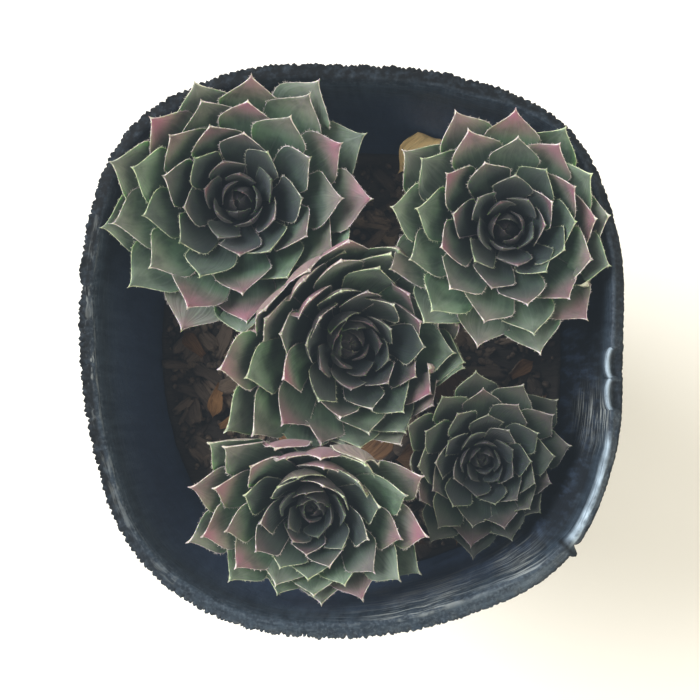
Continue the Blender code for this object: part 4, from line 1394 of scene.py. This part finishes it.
def build_fallen_leaves(blade, flat, material):
    """Dry leaves that have dropped on the mix, and the yellow one that stands beside a rosette."""
    pieces = []
    for x, y, z, azimuth, slope, droop, length, half_width, tone in FALLEN_LEAVES:
        frame = Matrix.Translation((x, y, float(soil_height(x, y)) + z))
        frame = frame @ Matrix.Rotation(math.radians(azimuth), 4, "Z")
        frame = frame @ Matrix.Translation((-WITHERED_ROOT - length / 2.0, 0.0, 0.0))
        points = bend_withered(flat, frame, [], slope, droop, length, half_width, 0.3, WITHERED_FILM)
        points[:, 2] += 0.0006 * crinkles(points, 620.0)
        pieces.append(dry_leaf(blade, flat, kept_inside(points), tone))
    finish_piece(joined(pieces, "fallen_leaves"), material)


def build_stage():
    """A pale floor that runs past the view."""
    floor = new_primitive(bpy.ops.mesh.primitive_plane_add, size=6.0, location=(0.0, 0.0, -HAIRLINE))
    floor.name = "pale_floor"
    material, _ = new_material("pale_paper_floor")
    floor.data.materials.append(finish_material(material, linear("#fbf9f3"), {"Roughness": 0.9}))


def area_light(name, place, aim, size, power, colour):
    light = bpy.data.lights.new(name, "AREA")
    light.shape = "DISK"
    light.size = size
    light.energy = power
    light.color = linear(colour)[:3]
    lamp = bpy.data.objects.new(name, light)
    bpy.context.scene.collection.objects.link(lamp)
    lamp.location = place
    lamp.rotation_euler = (Vector(aim) - Vector(place)).to_track_quat("-Z", "Y").to_euler()


def build_light():
    """A large window to the left, a warm room to the right, and a soft sky over all."""
    area_light("window", (-0.60, 0.28, 0.62), (0.0, 0.0, 0.05), 0.8, 13.0, "#ffffff")
    area_light("warm_room", (0.75, -0.35, 0.50), (0.0, 0.0, 0.05), 0.9, 7.4, "#fdf2d6")
    world = bpy.data.worlds.new("studio")
    bpy.context.scene.world = world
    world.use_nodes = True
    tree = world.node_tree
    sky = tree.nodes["Background"]
    direction = add_node(tree, "ShaderNodeTexCoord").outputs["Generated"]
    height = add_node(tree, "ShaderNodeSeparateXYZ", {"Vector": direction}).outputs["Z"]
    fall = {"Value": height, "From Min": 0.2, "From Max": 0.95, "To Min": 0.95, "To Max": 0.35}
    dim = add_node(tree, "ShaderNodeMapRange", fall)
    sky.inputs["Color"].default_value = linear("#fbfaf6")
    tree.links.new(dim.outputs[0], sky.inputs["Strength"])


def build_camera():
    """Looks down on the rim, with +Y up in the picture."""
    camera = bpy.data.objects.new("camera", bpy.data.cameras.new("camera"))
    bpy.context.scene.collection.objects.link(camera)
    camera.location = CAMERA_PLACE + Vector((0.0, 0.0, RIM_HEIGHT))
    aim = CAMERA_AIM - CAMERA_PLACE
    ahead = aim.normalized()
    right = ahead.cross(Vector((0.0, 1.0, 0.0))).normalized()
    up = right.cross(ahead)
    camera.rotation_euler = Matrix((right, up, -ahead)).transposed().to_euler()
    camera.data.sensor_width = SENSOR_WIDTH
    camera.data.lens = SENSOR_WIDTH * aim.length / FIELD_WIDTH
    bpy.context.scene.camera = camera


def set_picture_tone():
    """A little faded: the blacks are lifted."""
    settings = bpy.context.scene.view_settings
    settings.view_transform = "Standard"
    settings.use_curve_mapping = True
    for curve, lift in zip(settings.curve_mapping.curves, (0.0158, 0.0198, 0.0236)):
        curve.points[0].location = (0.0, lift)
    settings.curve_mapping.update()


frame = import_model()
RIM_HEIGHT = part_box("pot")[1].z
MIDDLE = outline_middle()

build_camera()
build_light()
build_stage()
set_picture_tone()
build_pot(black_film_material())
build_mix(bark_material("bark_mix_fines", "#3f3a36", "#655a50"))
chip_bark = bark_material("pine_bark_chip", "#4d443e", "#a08b76")
build_chips(chip_bark)
build_crumbs(chip_bark)
leaf_blade, leaf_flat = model_blade("leaf_blade", rows=22, columns=14)
dry_blade, dry_flat = model_blade("dry_blade", rows=14, columns=8)
hair_cone = model_hair()
leaf_skin = leaf_material()
hair_skin = hair_material()
dry_skin = withered_material()
for seed, plant in enumerate(PLANTS, 20):
    build_rosette(plant, seed, leaf_blade, leaf_flat, hair_cone, leaf_skin, hair_skin)
    build_withered_leaves(plant, seed, dry_blade, dry_flat, dry_skin)
build_fallen_leaves(dry_blade, dry_flat, dry_skin)
for master in (leaf_blade, dry_blade, hair_cone):
    bpy.data.objects.remove(master)
